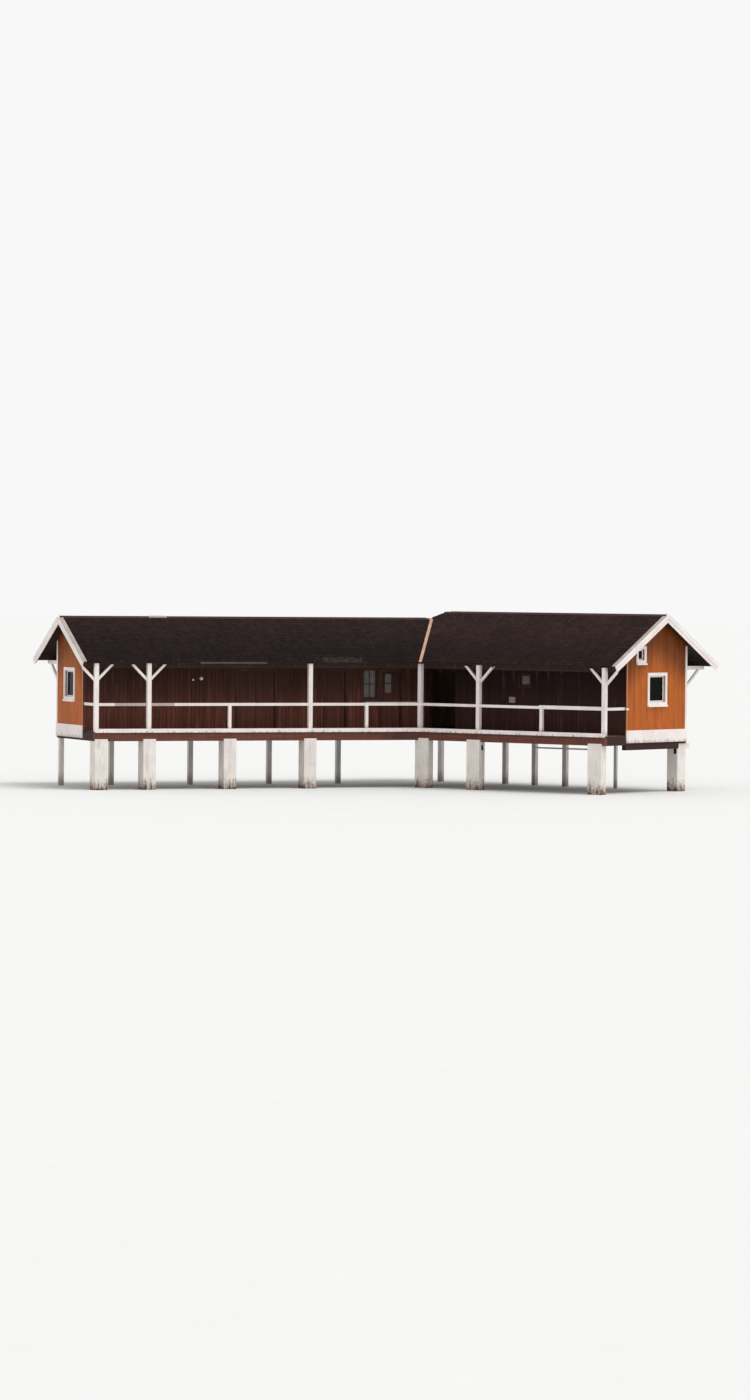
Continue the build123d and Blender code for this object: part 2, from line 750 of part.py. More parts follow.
PIERS_B = [180.0, 0.303 * WING_B, WING_B - 420.0]
PIERS_A = [-0.346 * WING_A, -0.592 * WING_A, -0.836 * WING_A, -WING_A + PIER_A[0] / 2]
CORNER_IN_X = CORNER_X - CORNER_PIER[0]
CORNER_BODY = box(CORNER_IN_X, CORNER_X, CORNER_Y - CORNER_PIER[1], CORNER_Y, 0, PIER_TOP)
# The head of the corner pier sticks out past the back of the building.
CORNER_NIB = box(CORNER_IN_X, CORNER_X, CORNER_Y, BACK_B + NIB_OUT, PIER_TOP - NIB_H, PIER_TOP)
save(
    "piers",
    [front_pier(x, PIER_B) - EDGE_BEAM_A for x in PIERS_B]
    + [turned(front_pier(x, PIER_A)) for x in PIERS_A]
    + [CORNER_BODY + CORNER_NIB],
)

# Slim posts under the back beams, with level ties between three of them
TIED_B = [share * WING_B for share in (0.191, 0.359, 0.527)]
REAR_B = [WALL_LEFT_B + 245.0, WALL_LEFT_B + 1995.0, 0.028 * WING_B] + TIED_B
SLIM_B = 0.632 * WING_B
REAR_A = [-WING_A + 150.0] + [-share * WING_A for share in (0.836, 0.592, 0.346, 0.128)]
REAR_Y_B = BACK_B - BEAM_T / 2
REAR_Y_A = BACK_A - BEAM_T / 2


def rear_post(x, y, width=REAR_POST):
    """Slim post down to the ground."""
    half = width / 2
    return box(x - half, x + half, y - half, y + half, 0, PIER_TOP)


save(
    "rear_posts",
    [rear_post(x, REAR_Y_B) for x in REAR_B]
    + [rear_post(SLIM_B, REAR_Y_B, SLIM_POST)]
    + [turned(rear_post(x, REAR_Y_A)) for x in REAR_A],
)


def tie(a, b):
    """Thin level bar between two neighbouring back posts."""
    half = TIE_H / 2
    x0 = a + REAR_POST / 2
    x1 = b - REAR_POST / 2
    return box(x0, x1, REAR_Y_B - half, REAR_Y_B + half, TIE_Z, TIE_Z + TIE_H)


save("rear_tie", [tie(a, b) for a, b in zip(TIED_B[:-1], TIED_B[1:])])


# Walls. Their tops follow the underside of the rafters.
def front_wall(x0, x1, z0, z1=None):
    """Piece of a gallery wall, up to the rafters unless a top is given."""
    y0 = GALLERY
    y1 = GALLERY + WALL_T
    top0 = roof_front(y0) - UNDER_RAFTER if z1 is None else z1
    top1 = roof_front(y1) - UNDER_RAFTER if z1 is None else z1
    return along_x([(y0, z0), (y1, z0), (y1, top1), (y0, top0)], x0, x1)


def back_wall(x0, x1, back, eave):
    """Back wall up to the rafters."""
    y0 = back - WALL_T
    profile = [
        (y0, FLOOR),
        (back, FLOOR),
        (back, roof_back(back, eave) - UNDER_RAFTER),
        (y0, roof_back(y0, eave) - UNDER_RAFTER),
    ]
    return along_x(profile, x0, x1)


# How far a cutter for an opening reaches to each side of its wall
CUT = 400.0


def hole(x0, x1, z0, z1, y):
    """Cutter for an opening in a wall that runs along X."""
    return box(x0, x1, y - CUT, y + CUT, z0, z1)


def centred(middle, width):
    """The two edges of an opening around its middle."""
    return (middle - width / 2, middle + width / 2)


def over_floor(heights):
    """Levels of a sill and a head given over the floor."""
    return tuple(FLOOR + height for height in heights)


# Openings of the gallery walls, as (left edge, right edge) along the wing, windows with sill and head
DOOR_1 = DOOR_1_PLACE
DOOR_2 = centred(-0.227 * WING_A, SINGLE_DOOR_W)
DOOR_3 = centred(-0.473 * WING_A, DOUBLE_DOOR_W)
WINDOW_A = (DOOR_1[0] - SIDE_LIGHT[0], DOOR_1[0] - SIDE_LIGHT[1], *over_floor(SIDE_LIGHT_Z))
WINDOW_B = (*centred(0.460 * WING_B, SMALL_WINDOW_W), *over_floor(SMALL_WINDOW_Z))
INNER_CORNER = corner_on_bend(GALLERY)
BEND_SIDE_B = over([(0, 0), (WING_B, 0), (WING_B, BACK_B), corner_on_bend(BACK_B)])
BEND_SIDE_A = over([(0, 0), corner_on_bend(BACK_B), wing_a_point(-WING_A, BACK_B), wing_a_point(-WING_A, 0)])

save(
    "wall_a_front",
    [
        turned(front_wall(GABLE_IN_A, DOOR_3[0], FLOOR)),
        turned(front_wall(DOOR_3[1], DOOR_2[0], FLOOR)),
        turned(front_wall(DOOR_2[1], DOOR_1[0], FLOOR) - hole(*WINDOW_A, GALLERY)),
        (turned(front_wall(DOOR_1[1], REACH, FLOOR)) & BEND_SIDE_A) - HIP_BOARDS[0],
    ],
)
save(
    "wall_heads",
    [turned(front_wall(door[0], door[1], DOOR_TOP)) for door in (DOOR_1, DOOR_2, DOOR_3)]
    + [front_wall(PASSAGE[0], PASSAGE[1], DOOR_TOP)],
)
save(
    "wall_b_front",
    [
        front_wall(PASSAGE[1], GABLE_IN_B, FLOOR) - hole(*WINDOW_B, GALLERY),
        (front_wall(-REACH, PASSAGE[0], FLOOR) & BEND_SIDE_B) - HIP_BOARDS[0],
    ],
)

BACK_WINDOWS_A = [centred(-share * WING_A, BACK_WINDOW_W) for share in (0.797, 0.541, 0.286)]
BACK_WINDOWS_B = [centred(share * WING_B, BACK_WINDOW_W) for share in (0.159, 0.614)]
BACK_SILL, BACK_HEAD = over_floor(BACK_WINDOW_Z)
wall_a_back = turned(back_wall(GABLE_IN_A, REACH, BACK_A, BACK_EAVE_A)) & over(DECK_PLAN_A)
for x0, x1 in BACK_WINDOWS_A:
    wall_a_back = wall_a_back - turned(hole(x0, x1, BACK_SILL, BACK_HEAD, BACK_A))
save("wall_a_back", [wall_a_back - HIP_BOARDS[1]])
wall_b_back = back_wall(WALL_LEFT_B + WALL_T + JOINT_GAP, GABLE_IN_B, BACK_B, BACK_EAVE_B)
for x0, x1 in BACK_WINDOWS_B:
    wall_b_back = wall_b_back - hole(x0, x1, BACK_SILL, BACK_HEAD, BACK_B)
left_profile = [
    (WALL_LEFT_B, FLOOR),
    (WALL_LEFT_B + WALL_T, FLOOR),
    (WALL_LEFT_B + WALL_T, EAVE_Z + (OVERHANG + WALL_T) * SLOPE - UNDER_RAFTER),
    (WALL_LEFT_B, EAVE_Z + OVERHANG * SLOPE - UNDER_RAFTER),
]
wall_b_left = along_y(left_profile, WALL_CORNER[1], BACK_B) & CROSS_CLIP_B
for board in HIP_BOARDS:
    wall_b_left = wall_b_left - board
    wall_b_back = wall_b_back - board
save("wall_b_back", [wall_b_back, wall_b_left])


# Gable walls up to the roof boards
def gable_wall(x0, x1, back, ridge):
    """Gable wall between two places along X."""
    slope_end = roof_front(GALLERY) - ROOF_DROP
    back_end = roof_front(ridge) - (back - ridge) * SLOPE - ROOF_DROP
    peak = roof_front(ridge) - ROOF_DROP
    profile = [(GALLERY, FLOOR), (back, FLOOR), (back, back_end), (ridge, peak), (GALLERY, slope_end)]
    return along_x(profile, x0, x1)


def end_hole(x, y0, y1, z0, z1):
    """Cutter for an opening in a gable wall."""
    return box(x - CUT, x + CUT, y0, y1, z0, z1)


GABLE_WINDOW_B = (*centred(RIDGE_Y, GABLE_WINDOW_W), *over_floor(GABLE_WINDOW_Z))
GABLE_WINDOW_A = (*centred(RIDGE_V, GABLE_WINDOW_W), *over_floor(GABLE_WINDOW_Z))
UPPER_Z = EAVE_Z + UPPER_RISE
UPPER_WINDOW = (*centred(GALLERY + 0.231 * ROOM_B, UPPER_SIDE), UPPER_Z, UPPER_Z + UPPER_SIDE)
save(
    "gable_b",
    [
        gable_wall(GABLE_IN_B, WING_B, BACK_B, RIDGE_Y)
        - end_hole(WING_B, *GABLE_WINDOW_B)
        - end_hole(WING_B, *UPPER_WINDOW)
    ],
)
save(
    "gable_a",
    [turned(gable_wall(-WING_A, GABLE_IN_A, BACK_A, RIDGE_V) - end_hole(-WING_A, *GABLE_WINDOW_A))],
)

# White skirt boards and corner boards on the gables
SKIRT_T = 40.0
SKIRT_Z0 = PIER_TOP + 80.0
SKIRT_Z1 = FLOOR + 200.0
CORNER_W = 120.0
CORNER_T = 25.0


def skirt(x0, x1, back):
    """Skirt board below a gable wall."""
    return box(x0, x1, GALLERY, back, SKIRT_Z0, SKIRT_Z1)


CORNER_TOP_CLEAR = 20.0
CORNER_Z1 = roof_front(GALLERY) - ROOF_DROP - CORNER_TOP_CLEAR


def corner_boards(x0, x1, back):
    """Upright boards at the two corners of a gable wall."""
    return [
        box(x0, x1, GALLERY, GALLERY + CORNER_W / 2, SKIRT_Z1, CORNER_Z1),
        box(x0, x1, back - CORNER_W, back, SKIRT_Z1, CORNER_Z1),
    ]


def gable_trim(x0, out, back):
    """Skirt board with the corner boards that stand on it."""
    trim = skirt(min(x0, x0 + out * SKIRT_T), max(x0, x0 + out * SKIRT_T), back)
    for board in corner_boards(x0, x0 + out * CORNER_T, back):
        trim = trim + board
    return trim


save("gable_trim", [gable_trim(WING_B, 1, BACK_B), turned(gable_trim(-WING_A, -1, BACK_A))])

# Brackets that carry the wide back eaves: a level arm, a strut and a plate on top
ARM_Z1 = EAVE_Z - 40.0
ARM_Z0 = ARM_Z1 - ARM_H
REAR_PLATE_IN = 560.0
REAR_PLATE_W = 140.0
END_ARM_IN = 70.0


def arm(x, back):
    """Level arm on the back wall."""
    return box(x - ARM_T / 2, x + ARM_T / 2, back, back + ARM_RUN, ARM_Z0, ARM_Z1)


def strut(x, back):
    """Slanting strut under an arm."""
    flat = BRACE * math.sqrt(2)
    points = [
        (x - BRACE_T / 2, back, ARM_Z0 - STRUT_DROP - flat),
        (x - BRACE_T / 2, back, ARM_Z0 - STRUT_DROP),
        (x - BRACE_T / 2, back + STRUT_RUN, ARM_Z0),
        (x - BRACE_T / 2, back + STRUT_RUN + flat, ARM_Z0),
    ]
    return prism(points, (BRACE_T, 0, 0))


def rear_plate(x0, x1, eave):
    """Plate on the arms, its top bevelled under the rafters."""
    y0 = eave - REAR_PLATE_IN
    y1 = y0 + REAR_PLATE_W
    profile = [
        (y0, ARM_Z1),
        (y1, ARM_Z1),
        (y1, roof_back(y1, eave) - UNDER_RAFTER),
        (y0, roof_back(y0, eave) - UNDER_RAFTER),
    ]
    return along_x(profile, x0, x1)


ARMS_B = [share * WING_B for share in (-0.32, 0.0, 0.33, 0.66)] + [WING_B - END_ARM_IN]
ARMS_A = [-share * WING_A for share in (0.11, 0.33, 0.55, 0.78)] + [-WING_A + END_ARM_IN]
save(
    "eave_brackets",
    [arm(x, BACK_B) + strut(x, BACK_B) for x in ARMS_B]
    + [turned(arm(x, BACK_A) + strut(x, BACK_A)) for x in ARMS_A],
)
HIP_PLATE_OUT = REAR_PLATE_IN - REAR_PLATE_W
hip_plate_profile = [
    (HIP_EAVE + REAR_PLATE_IN, ARM_Z1),
    (HIP_EAVE + HIP_PLATE_OUT, ARM_Z1),
    (HIP_EAVE + HIP_PLATE_OUT, EAVE_Z + HIP_PLATE_OUT * SLOPE - UNDER_RAFTER),
    (HIP_EAVE + REAR_PLATE_IN, EAVE_Z + REAR_PLATE_IN * SLOPE - UNDER_RAFTER),
]
rear_plates = [
    turned(rear_plate(END_A, REACH, BACK_EAVE_A)) & over(PLAN_A_BACK),
    rear_plate(-REACH, END_B, BACK_EAVE_B) & over(PLAN_B_BACK),
    along_y(hip_plate_profile, 0, BACK_EAVE_B) & over(PLAN_HIP),
]
save("rear_plates", [plate - HIP_CUTS[1] - HIP_CUTS[2] for plate in rear_plates])

# Doors. Each leaf is hinged at the inner face of the wall and opens into the room.
LEAF_Y1 = GALLERY + WALL_T
LEAF_Y0 = LEAF_Y1 - LEAF_T
LEAF_Z0 = FLOOR + CLEAR
LEAF_Z1 = DOOR_TOP - CLEAR
SLOT = (
    DOOR_1[0] + SLOT_X[0],
    DOOR_1[0] + SLOT_X[1],
    DOOR_TOP - SLOT_DROP[0],
    DOOR_TOP - SLOT_DROP[1],
)
AXIS_V = LEAF_Y1 + HINGE_OUT
HINGE_LEVELS = [FLOOR + 260.0, DOOR_TOP - 340.0]
WEB = (4.0, 20.0)
PIN_SHORT = 5.0
BORE_OVER = 10.0


def upright(u, radius, z0, z1):
    """Upright round bar on a hinge axis."""
    return Pos(u, AXIS_V, (z0 + z1) / 2) * Cylinder(radius, z1 - z0)


def hinge_half(u, side, z0):
    """Knuckle with its web and plate, on the side of the axis that the sign gives."""
    wide, thick, high = HINGE_PLATE
    middle = z0 + KNUCKLE_H / 2
    plate = box(
        u + side * CLEAR, u + side * (CLEAR + wide), LEAF_Y1, LEAF_Y1 + thick, middle - high / 2, middle + high / 2
    )
    web = box(u + side * WEB[0], u + side * WEB[1], LEAF_Y1, AXIS_V, z0, z0 + KNUCKLE_H)
    return upright(u, KNUCKLE_R, z0, z0 + KNUCKLE_H) + web + plate


def fixed_hinge(u, side, z0):
    """Half on the wall, with the pin that stands up from it."""
    return hinge_half(u, -side, z0) + upright(u, PIN_R, z0, z0 + 2 * KNUCKLE_H - PIN_SHORT)


def leaf_hinge(u, side, z0):
    """Half on the leaf, bored for the pin and resting on the other half."""
    low = z0 + KNUCKLE_H + JOINT_GAP
    bore = upright(u, PIN_R + PIN_GAP, low - BORE_OVER, low + KNUCKLE_H + BORE_OVER)
    return hinge_half(u, side, low) - bore


def leaf(x0, x1, hinge, side):
    """Door leaf with its hinge halves, in the local frame of wing A."""
    piece = box(x0, x1, LEAF_Y0, LEAF_Y1, LEAF_Z0, LEAF_Z1)
    for level in HINGE_LEVELS:
        piece = piece + leaf_hinge(hinge, side, level)
    return piece


MEET_3 = (DOOR_3[0] + DOOR_3[1]) / 2
door_1 = leaf(DOOR_1[0] + CLEAR, DOOR_1[1] - CLEAR, DOOR_1[1], -1) - hole(*SLOT, LEAF_Y0)
door_2 = leaf(DOOR_2[0] + CLEAR, DOOR_2[1] - CLEAR, DOOR_2[0], 1)
door_3_left = leaf(DOOR_3[0] + CLEAR, MEET_3 - CLEAR / 2, DOOR_3[0], 1)
door_3_right = leaf(MEET_3 + CLEAR / 2, DOOR_3[1] - CLEAR, DOOR_3[1], -1)
slot_pane = box(
    SLOT[0],
    SLOT[1],
    LEAF_Y0 + LEAF_T / 2 - GLASS_T / 2,
    LEAF_Y0 + LEAF_T / 2 + GLASS_T / 2,
    SLOT[2],
    SLOT[3],
)
save("door_1", [turned(door_1)])
save("door_1_glass", [turned(slot_pane)])
save("door_2", [turned(door_2)])
save("door_3_left", [turned(door_3_left)])
save("door_3_right", [turned(door_3_right)])
HINGES = [(DOOR_1[1], -1), (DOOR_2[0], 1), (DOOR_3[0], 1), (DOOR_3[1], -1)]
save(
    "hinge_pins",
    [turned(fixed_hinge(u, side, level)) for u, side in HINGES for level in HINGE_LEVELS],
)


# Casings around the gallery doors, trim on the face of the wall
def casing(x0, x1):
    """Three-sided casing on the gallery face."""
    outer = box(x0 - CASING_W, x1 + CASING_W, GALLERY - CASING_T, GALLERY, FLOOR, DOOR_TOP + CASING_W)
    return outer - box(x0, x1, GALLERY - CUT, GALLERY + CUT, BEAM_TOP, DOOR_TOP)


save("door_casings", [turned(casing(*door)) for door in (DOOR_1, DOOR_2, DOOR_3)])


# Windows: a sash in each opening, with its glass, and casing with a sill outside
def sash(x0, x1, z0, z1, y):
    """Window sash and its glass, in a wall that runs along X."""
    frame = box(x0, x1, y - FRAME_T / 2, y + FRAME_T / 2, z0, z1)
    frame = frame - hole(x0 + FRAME_W, x1 - FRAME_W, z0 + FRAME_W, z1 - FRAME_W, y)
    edge = FRAME_W - GLASS_IN
    glass = box(x0 + edge, x1 - edge, y - GLASS_T / 2, y + GLASS_T / 2, z0 + edge, z1 - edge)
    return frame - glass, glass


def end_sash(y0, y1, z0, z1, x):
    """The same sash and glass in a gable wall."""
    frame, glass = sash(y0, y1, z0, z1, 0)
    place = Pos(x, 0, 0) * Rot(0, 0, 90)
    return place * frame, place * glass


DARK_SASHES = []
WHITE_SASHES = []
GLASS = []
frame, glass = sash(*WINDOW_A, GALLERY + MID_SASH)
DARK_SASHES.append(turned(frame))
GLASS.append(turned(glass))
frame, glass = sash(*WINDOW_B, GALLERY + MID_SASH)
DARK_SASHES.append(frame)
GLASS.append(glass)
for x0, x1 in BACK_WINDOWS_A:
    frame, glass = sash(x0, x1, BACK_SILL, BACK_HEAD, BACK_A - MID_SASH)
    DARK_SASHES.append(turned(frame))
    GLASS.append(turned(glass))
for x0, x1 in BACK_WINDOWS_B:
    frame, glass = sash(x0, x1, BACK_SILL, BACK_HEAD, BACK_B - MID_SASH)
    DARK_SASHES.append(frame)
    GLASS.append(glass)
for window in (GABLE_WINDOW_B, UPPER_WINDOW):
    frame, glass = end_sash(*window, WING_B - MID_SASH)
    WHITE_SASHES.append(frame)
    GLASS.append(glass)
frame, glass = end_sash(*GABLE_WINDOW_A, -WING_A + MID_SASH)
WHITE_SASHES.append(turned(frame))
GLASS.append(turned(glass))
save("window_sashes", DARK_SASHES)
save("window_glass", GLASS)

GABLE_CASING_W = 120.0
GABLE_CASING_T = 45.0
SILL_H = 60.0
SILL_OUT = 90.0


def gable_casing(y0, y1, z0, z1, x, out):
    """Casing and sill around a gable window on the face that looks along out."""
    x1 = x + out * GABLE_CASING_T
    w = GABLE_CASING_W
    ring = box(x, x1, y0 - w, y1 + w, z0 - w, z1 + w) - end_hole(x, y0, y1, z0, z1)
    sill = box(x, x + out * SILL_OUT, y0 - w, y1 + w, z0 - w - SILL_H, z0 - w)
    return ring + sill


save(
    "gable_windows",
    WHITE_SASHES
    + [
        gable_casing(*GABLE_WINDOW_B, WING_B, 1),
        gable_casing(*UPPER_WINDOW, WING_B, 1),
        turned(gable_casing(*GABLE_WINDOW_A, -WING_A, -1)),
    ],
)
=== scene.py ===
import math
import random

import bmesh
import bpy
from mathutils import Matrix, Vector


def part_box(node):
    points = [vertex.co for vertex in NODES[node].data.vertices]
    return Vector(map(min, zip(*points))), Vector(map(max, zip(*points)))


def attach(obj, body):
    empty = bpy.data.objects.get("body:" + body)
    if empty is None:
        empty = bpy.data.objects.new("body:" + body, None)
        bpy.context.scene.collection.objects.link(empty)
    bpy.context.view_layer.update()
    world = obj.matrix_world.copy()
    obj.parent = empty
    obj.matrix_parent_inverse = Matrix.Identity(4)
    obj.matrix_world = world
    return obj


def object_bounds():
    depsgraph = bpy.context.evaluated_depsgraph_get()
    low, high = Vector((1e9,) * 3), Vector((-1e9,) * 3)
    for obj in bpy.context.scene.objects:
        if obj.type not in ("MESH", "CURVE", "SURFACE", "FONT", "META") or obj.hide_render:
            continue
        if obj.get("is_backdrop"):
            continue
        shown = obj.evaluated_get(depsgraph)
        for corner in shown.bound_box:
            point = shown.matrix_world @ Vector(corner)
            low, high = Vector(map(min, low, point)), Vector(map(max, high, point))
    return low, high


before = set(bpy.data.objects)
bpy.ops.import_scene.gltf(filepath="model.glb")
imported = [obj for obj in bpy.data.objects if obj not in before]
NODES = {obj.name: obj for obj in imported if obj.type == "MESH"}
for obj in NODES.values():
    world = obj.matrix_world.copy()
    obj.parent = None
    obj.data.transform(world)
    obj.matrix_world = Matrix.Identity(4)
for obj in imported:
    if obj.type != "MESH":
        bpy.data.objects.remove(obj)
CAD_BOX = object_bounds()

# The bend between the two wings. Wing A is worked out in a frame of its own, turned by the bend.
BEND = math.radians(60)
MITRE = math.tan(BEND / 2)
WING_A = Matrix.Rotation(BEND, 4, "Z")
WING_B = Matrix.Identity(4)
PITCH = math.radians(29.5)
SLOPE = math.tan(PITCH)
SAME_POINT = 1e-5
SAME_SIZE = 0.002


def corners(points):
    """Lowest and highest corner of points."""
    return [Vector([pick(p[i] for p in points) for i in range(3)]) for pick in (min, max)]


def box_in(node, wing):
    """Box of a CAD node in the frame of a wing."""
    back = wing.inverted()
    return corners([back @ v.co for v in NODES[node].data.vertices])


def solids_in(node, wing):
    """Boxes of a CAD node's solids in the frame of a wing."""
    back = wing.inverted()
    shape = bmesh.new()
    shape.from_mesh(NODES[node].data)
    bmesh.ops.remove_doubles(shape, verts=shape.verts, dist=SAME_POINT)
    found = []
    seen = set()
    for seed in shape.verts:
        if seed in seen:
            continue
        seen.add(seed)
        group = [seed]
        for vertex in group:
            fresh = {edge.other_vert(vertex) for edge in vertex.link_edges} - seen
            seen |= fresh
            group += fresh
        found.append(corners([back @ v.co for v in group]))
    shape.free()
    return found


def squared(node, wing, axis, size):
    """Solids that stand square in the frame of a wing, known by their size along an axis."""
    return [b for b in solids_in(node, wing) if abs(b[1][axis] - b[0][axis] - size) < SAME_SIZE]


# Sizes of the CAD solids that can't be read from a box
WALL_T = 0.12
RAFTER_DEEP = 0.08
SKIRT_H = 0.2
CASING_W = 0.09
SASH_T = 0.06
RAIL_W = 0.09
HALF_POST = 0.08
CROSS_BEAM_W = 0.18
PIER_DEEP = {"a": 0.6, "b": 0.34}
CORNER_PIER_DEEP = 0.83

# Levels and edges read from the frame
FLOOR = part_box("deck")[1].z
DOOR_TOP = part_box("wall_heads")[0].z
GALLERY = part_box("wall_b_front")[0].y
END_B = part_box("gable_b")[1].x
BACK_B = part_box("gable_b")[1].y
END_A = box_in("gable_a", WING_A)[0].x
BACK_A = box_in("gable_a", WING_A)[1].y
VERGE_A = box_in("roof_a_front", WING_A)[0].x
VERGE_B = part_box("roof_b_front")[1].x
EAVE_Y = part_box("roof_b_front")[0].y
RIDGE_A = box_in("roof_a_front", WING_A)[1].y
RIDGE_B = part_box("roof_b_front")[1].y
BACK_EAVE_A = box_in("roof_a_back", WING_A)[1].y
BACK_EAVE_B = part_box("roof_b_back")[1].y
EAVE_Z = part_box("roof_b_front")[1].z - (RIDGE_B - EAVE_Y) * SLOPE
ROOF_DROP = EAVE_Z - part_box("roof_b_front")[0].z
UNDER_RAFTER = ROOF_DROP + RAFTER_DEEP / math.cos(PITCH)
HIP_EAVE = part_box("roof_hip")[0].x
WALL_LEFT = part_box("wall_b_back")[0].x
SKIRT_Z1 = FLOOR + SKIRT_H
RAIL_Z0, RAIL_Z1 = (c.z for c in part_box("top_rails"))
BEAM_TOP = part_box("toe_boards")[0].z


def on_wing_a(x, v):
    """Plan point at this X of the building, v behind wing A's line of posts."""
    return (x, (v + math.sin(BEND) * x) / math.cos(BEND))


def along_a(point):
    """Place along wing A of a plan point."""
    return (WING_A.inverted() @ Vector((*point, 0))).x


# Plan points of the roof and the walls
EAVE_CORNER = (-EAVE_Y * MITRE, EAVE_Y)
RIDGE_END = tuple((WING_A @ Vector((RIDGE_A * MITRE, RIDGE_A, 0)))[:2])
RIDGE_START = (HIP_EAVE + RIDGE_B - EAVE_Y, RIDGE_B)
VALLEY_FOOT = on_wing_a(HIP_EAVE, BACK_EAVE_A)
HIP_FOOT = (HIP_EAVE, BACK_EAVE_B)
WALL_CORNER = on_wing_a(WALL_LEFT, BACK_A)


def srgb(red, green, blue):
    """Linear colour from one given as 0 to 255."""
    parts = [c / 255 for c in (red, green, blue)]
    return [c / 12.92 if c <= 0.04045 else ((c + 0.055) / 1.055) ** 2.4 for c in parts] + [1]


class Nodes:
    """A node tree with short ways to add to it."""

    def __init__(self, tree):
        self.tree = tree

    def add(self, kind, *sources, **settings):
        """New node with its settings, its first sockets fed in order."""
        node = self.tree.nodes.new("ShaderNode" + kind)
        for key, value in settings.items():
            setattr(node, key, value)
        for source, socket in zip(sources, node.inputs):
            self.link(source, socket)
        return node

    def link(self, source, socket):
        """Feeds a socket from an output or a plain value."""
        if hasattr(source, "is_output"):
            self.tree.links.new(source, socket)
        else:
            socket.default_value = source

    def feed(self, node, **sources):
        """Feeds sockets by their names, with _ for a space."""
        for name, source in sources.items():
            self.link(source, node.inputs[name.replace("_", " ")])

    def math(self, operation, a, b=0):
        """Result of one sum on two values."""
        return self.add("Math", a, b, operation=operation).outputs[0]

    def span(self, value, low, high, to_low=0, to_high=1):
        """Value mapped smoothly from one range to another."""
        sources = (value, low, high, to_low, to_high)
        return self.add("MapRange", *sources, interpolation_type="SMOOTHSTEP").outputs[0]

    def times(self, light, value, *span):
        """Light times a value mapped to a range."""
        return self.math("MULTIPLY", light, self.span(value, *span))

    def mix(self, factor, a, b, blend="MIX"):
        """Blend of two colours."""
        node = self.add("Mix", factor, data_type="RGBA", blend_type=blend)
        for colour, socket in zip((a, b), [s for s in node.inputs if s.type == "RGBA"]):
            self.link(colour, socket)
        return [s for s in node.outputs if s.type == "RGBA"][0]


class Shade(Nodes):
    """A material that is worked up from one colour, by the place on the piece."""

    def __init__(self, name, colour, turned=False):
        """turned: for CAD nodes on both wings, the place on wing A is turned into its frame."""
        self.material = bpy.data.materials.new(name)
        self.material.use_nodes = True
        super().__init__(self.material.node_tree)
        self.shader = self.tree.nodes["Principled BSDF"]
        self.colour = srgb(*colour)
        self.place = self.add("TexCoord").outputs["Object"]
        if turned:
            across_bend = (-math.cos(BEND / 2), -math.sin(BEND / 2), 0)
            split = self.add("VectorMath", self.place, across_bend, operation="DOT_PRODUCT")
            on_a = self.math("GREATER_THAN", split.outputs["Value"], 0)
            turn = self.add("VectorRotate", self.place, rotation_type="Z_AXIS")
            self.feed(turn, Angle=self.math("MULTIPLY", on_a, -BEND))
            self.place = turn.outputs["Vector"]

    def noise(self, scale, detail, rough=0.6, distortion=0, shift=None):
        """Noise at the place, scaled by a number or one for each axis, and moved by a value."""
        scale = scale if isinstance(scale, tuple) else (scale, scale, scale)
        vector = self.add("VectorMath", self.place, scale, operation="MULTIPLY").outputs[0]
        if shift is not None:
            vector = self.add("VectorMath", vector, shift, operation="ADD").outputs[0]
        node = self.add("TexNoise", vector)
        self.feed(node, Scale=1, Detail=detail, Roughness=rough, Distortion=distortion)
        return node.outputs["Fac"]

    def axis(self, index):
        """One coordinate of the place."""
        return self.add("SeparateXYZ", self.place).outputs[index]

    def between(self, index, low, high, edge=0.03):
        """One inside a band of a coordinate and zero outside it."""
        value = self.axis(index)
        rise = self.span(value, low - edge, low + edge)
        return self.times(rise, value, high - edge, high + edge, 1, 0)

    def facing_up(self):
        """One on faces that look up and zero on the others."""
        parts = self.add("SeparateXYZ", self.add("NewGeometry").outputs["True Normal"])
        return self.span(parts.outputs[2], 0.3, 0.5)

    def tone(self):
        """The tone of each board or shingle of a made piece."""
        return self.add("Attribute", attribute_name="tone").outputs["Fac"]

    def brighten(self, value, *span):
        """Multiplies the colour by a value, which may be mapped to a range."""
        value = self.span(value, *span) if span else value
        grey = self.add("CombineColor", value, value, value)
        self.colour = self.mix(1, self.colour, grey.outputs[0], "MULTIPLY")

    def stain(self, tint, value, *span):
        """Mixes the colour with a tint by a value, which may be mapped to a range."""
        value = self.span(value, *span) if span else value
        self.colour = self.mix(value, self.colour, srgb(*tint))

    def bump(self, height, distance):
        """Adds bump from a height value and its depth in metres."""
        node = self.add("Bump")
        self.feed(node, Distance=distance, Height=height)
        normal = self.shader.inputs["Normal"]
        if normal.links:
            self.feed(node, Normal=normal.links[0].from_socket)
        self.link(node.outputs["Normal"], normal)

    def finish(self, rough, sheen=0.5, metallic=0):
        """The material with its colour, its roughness and the strength of its shine."""
        self.feed(self.shader, Base_Color=self.colour, Roughness=rough)
        self.feed(self.shader, Metallic=metallic, Specular_IOR_Level=sheen)
        return self.material


def drawn_out(axis, along, across):
    """Scale of a pattern drawn out along one axis."""
    return tuple(along if i == axis else across for i in range(3))


# Range that noise mostly keeps to, the width of a sharp edge, and what all woods share
MID = (0.3, 0.7)
SHARP = 0.003
BARE_WOOD = (158, 128, 98)
WEATHERED_WOOD = (128, 112, 100)
TONE_SHIFT = 97


def painted_verge_shade(mat, ridge):
    """Share of light left on a gable: painted shade, darker under its verges."""
    aside = mat.math("ABSOLUTE", mat.math("SUBTRACT", mat.axis(1), ridge))
    level = mat.math("ADD", mat.axis(2), mat.math("MULTIPLY", aside, SLOPE))
    peak = EAVE_Z + (ridge - EAVE_Y) * SLOPE
    return mat.span(level, peak - 2.2, peak - 0.8, 1, 0.45)


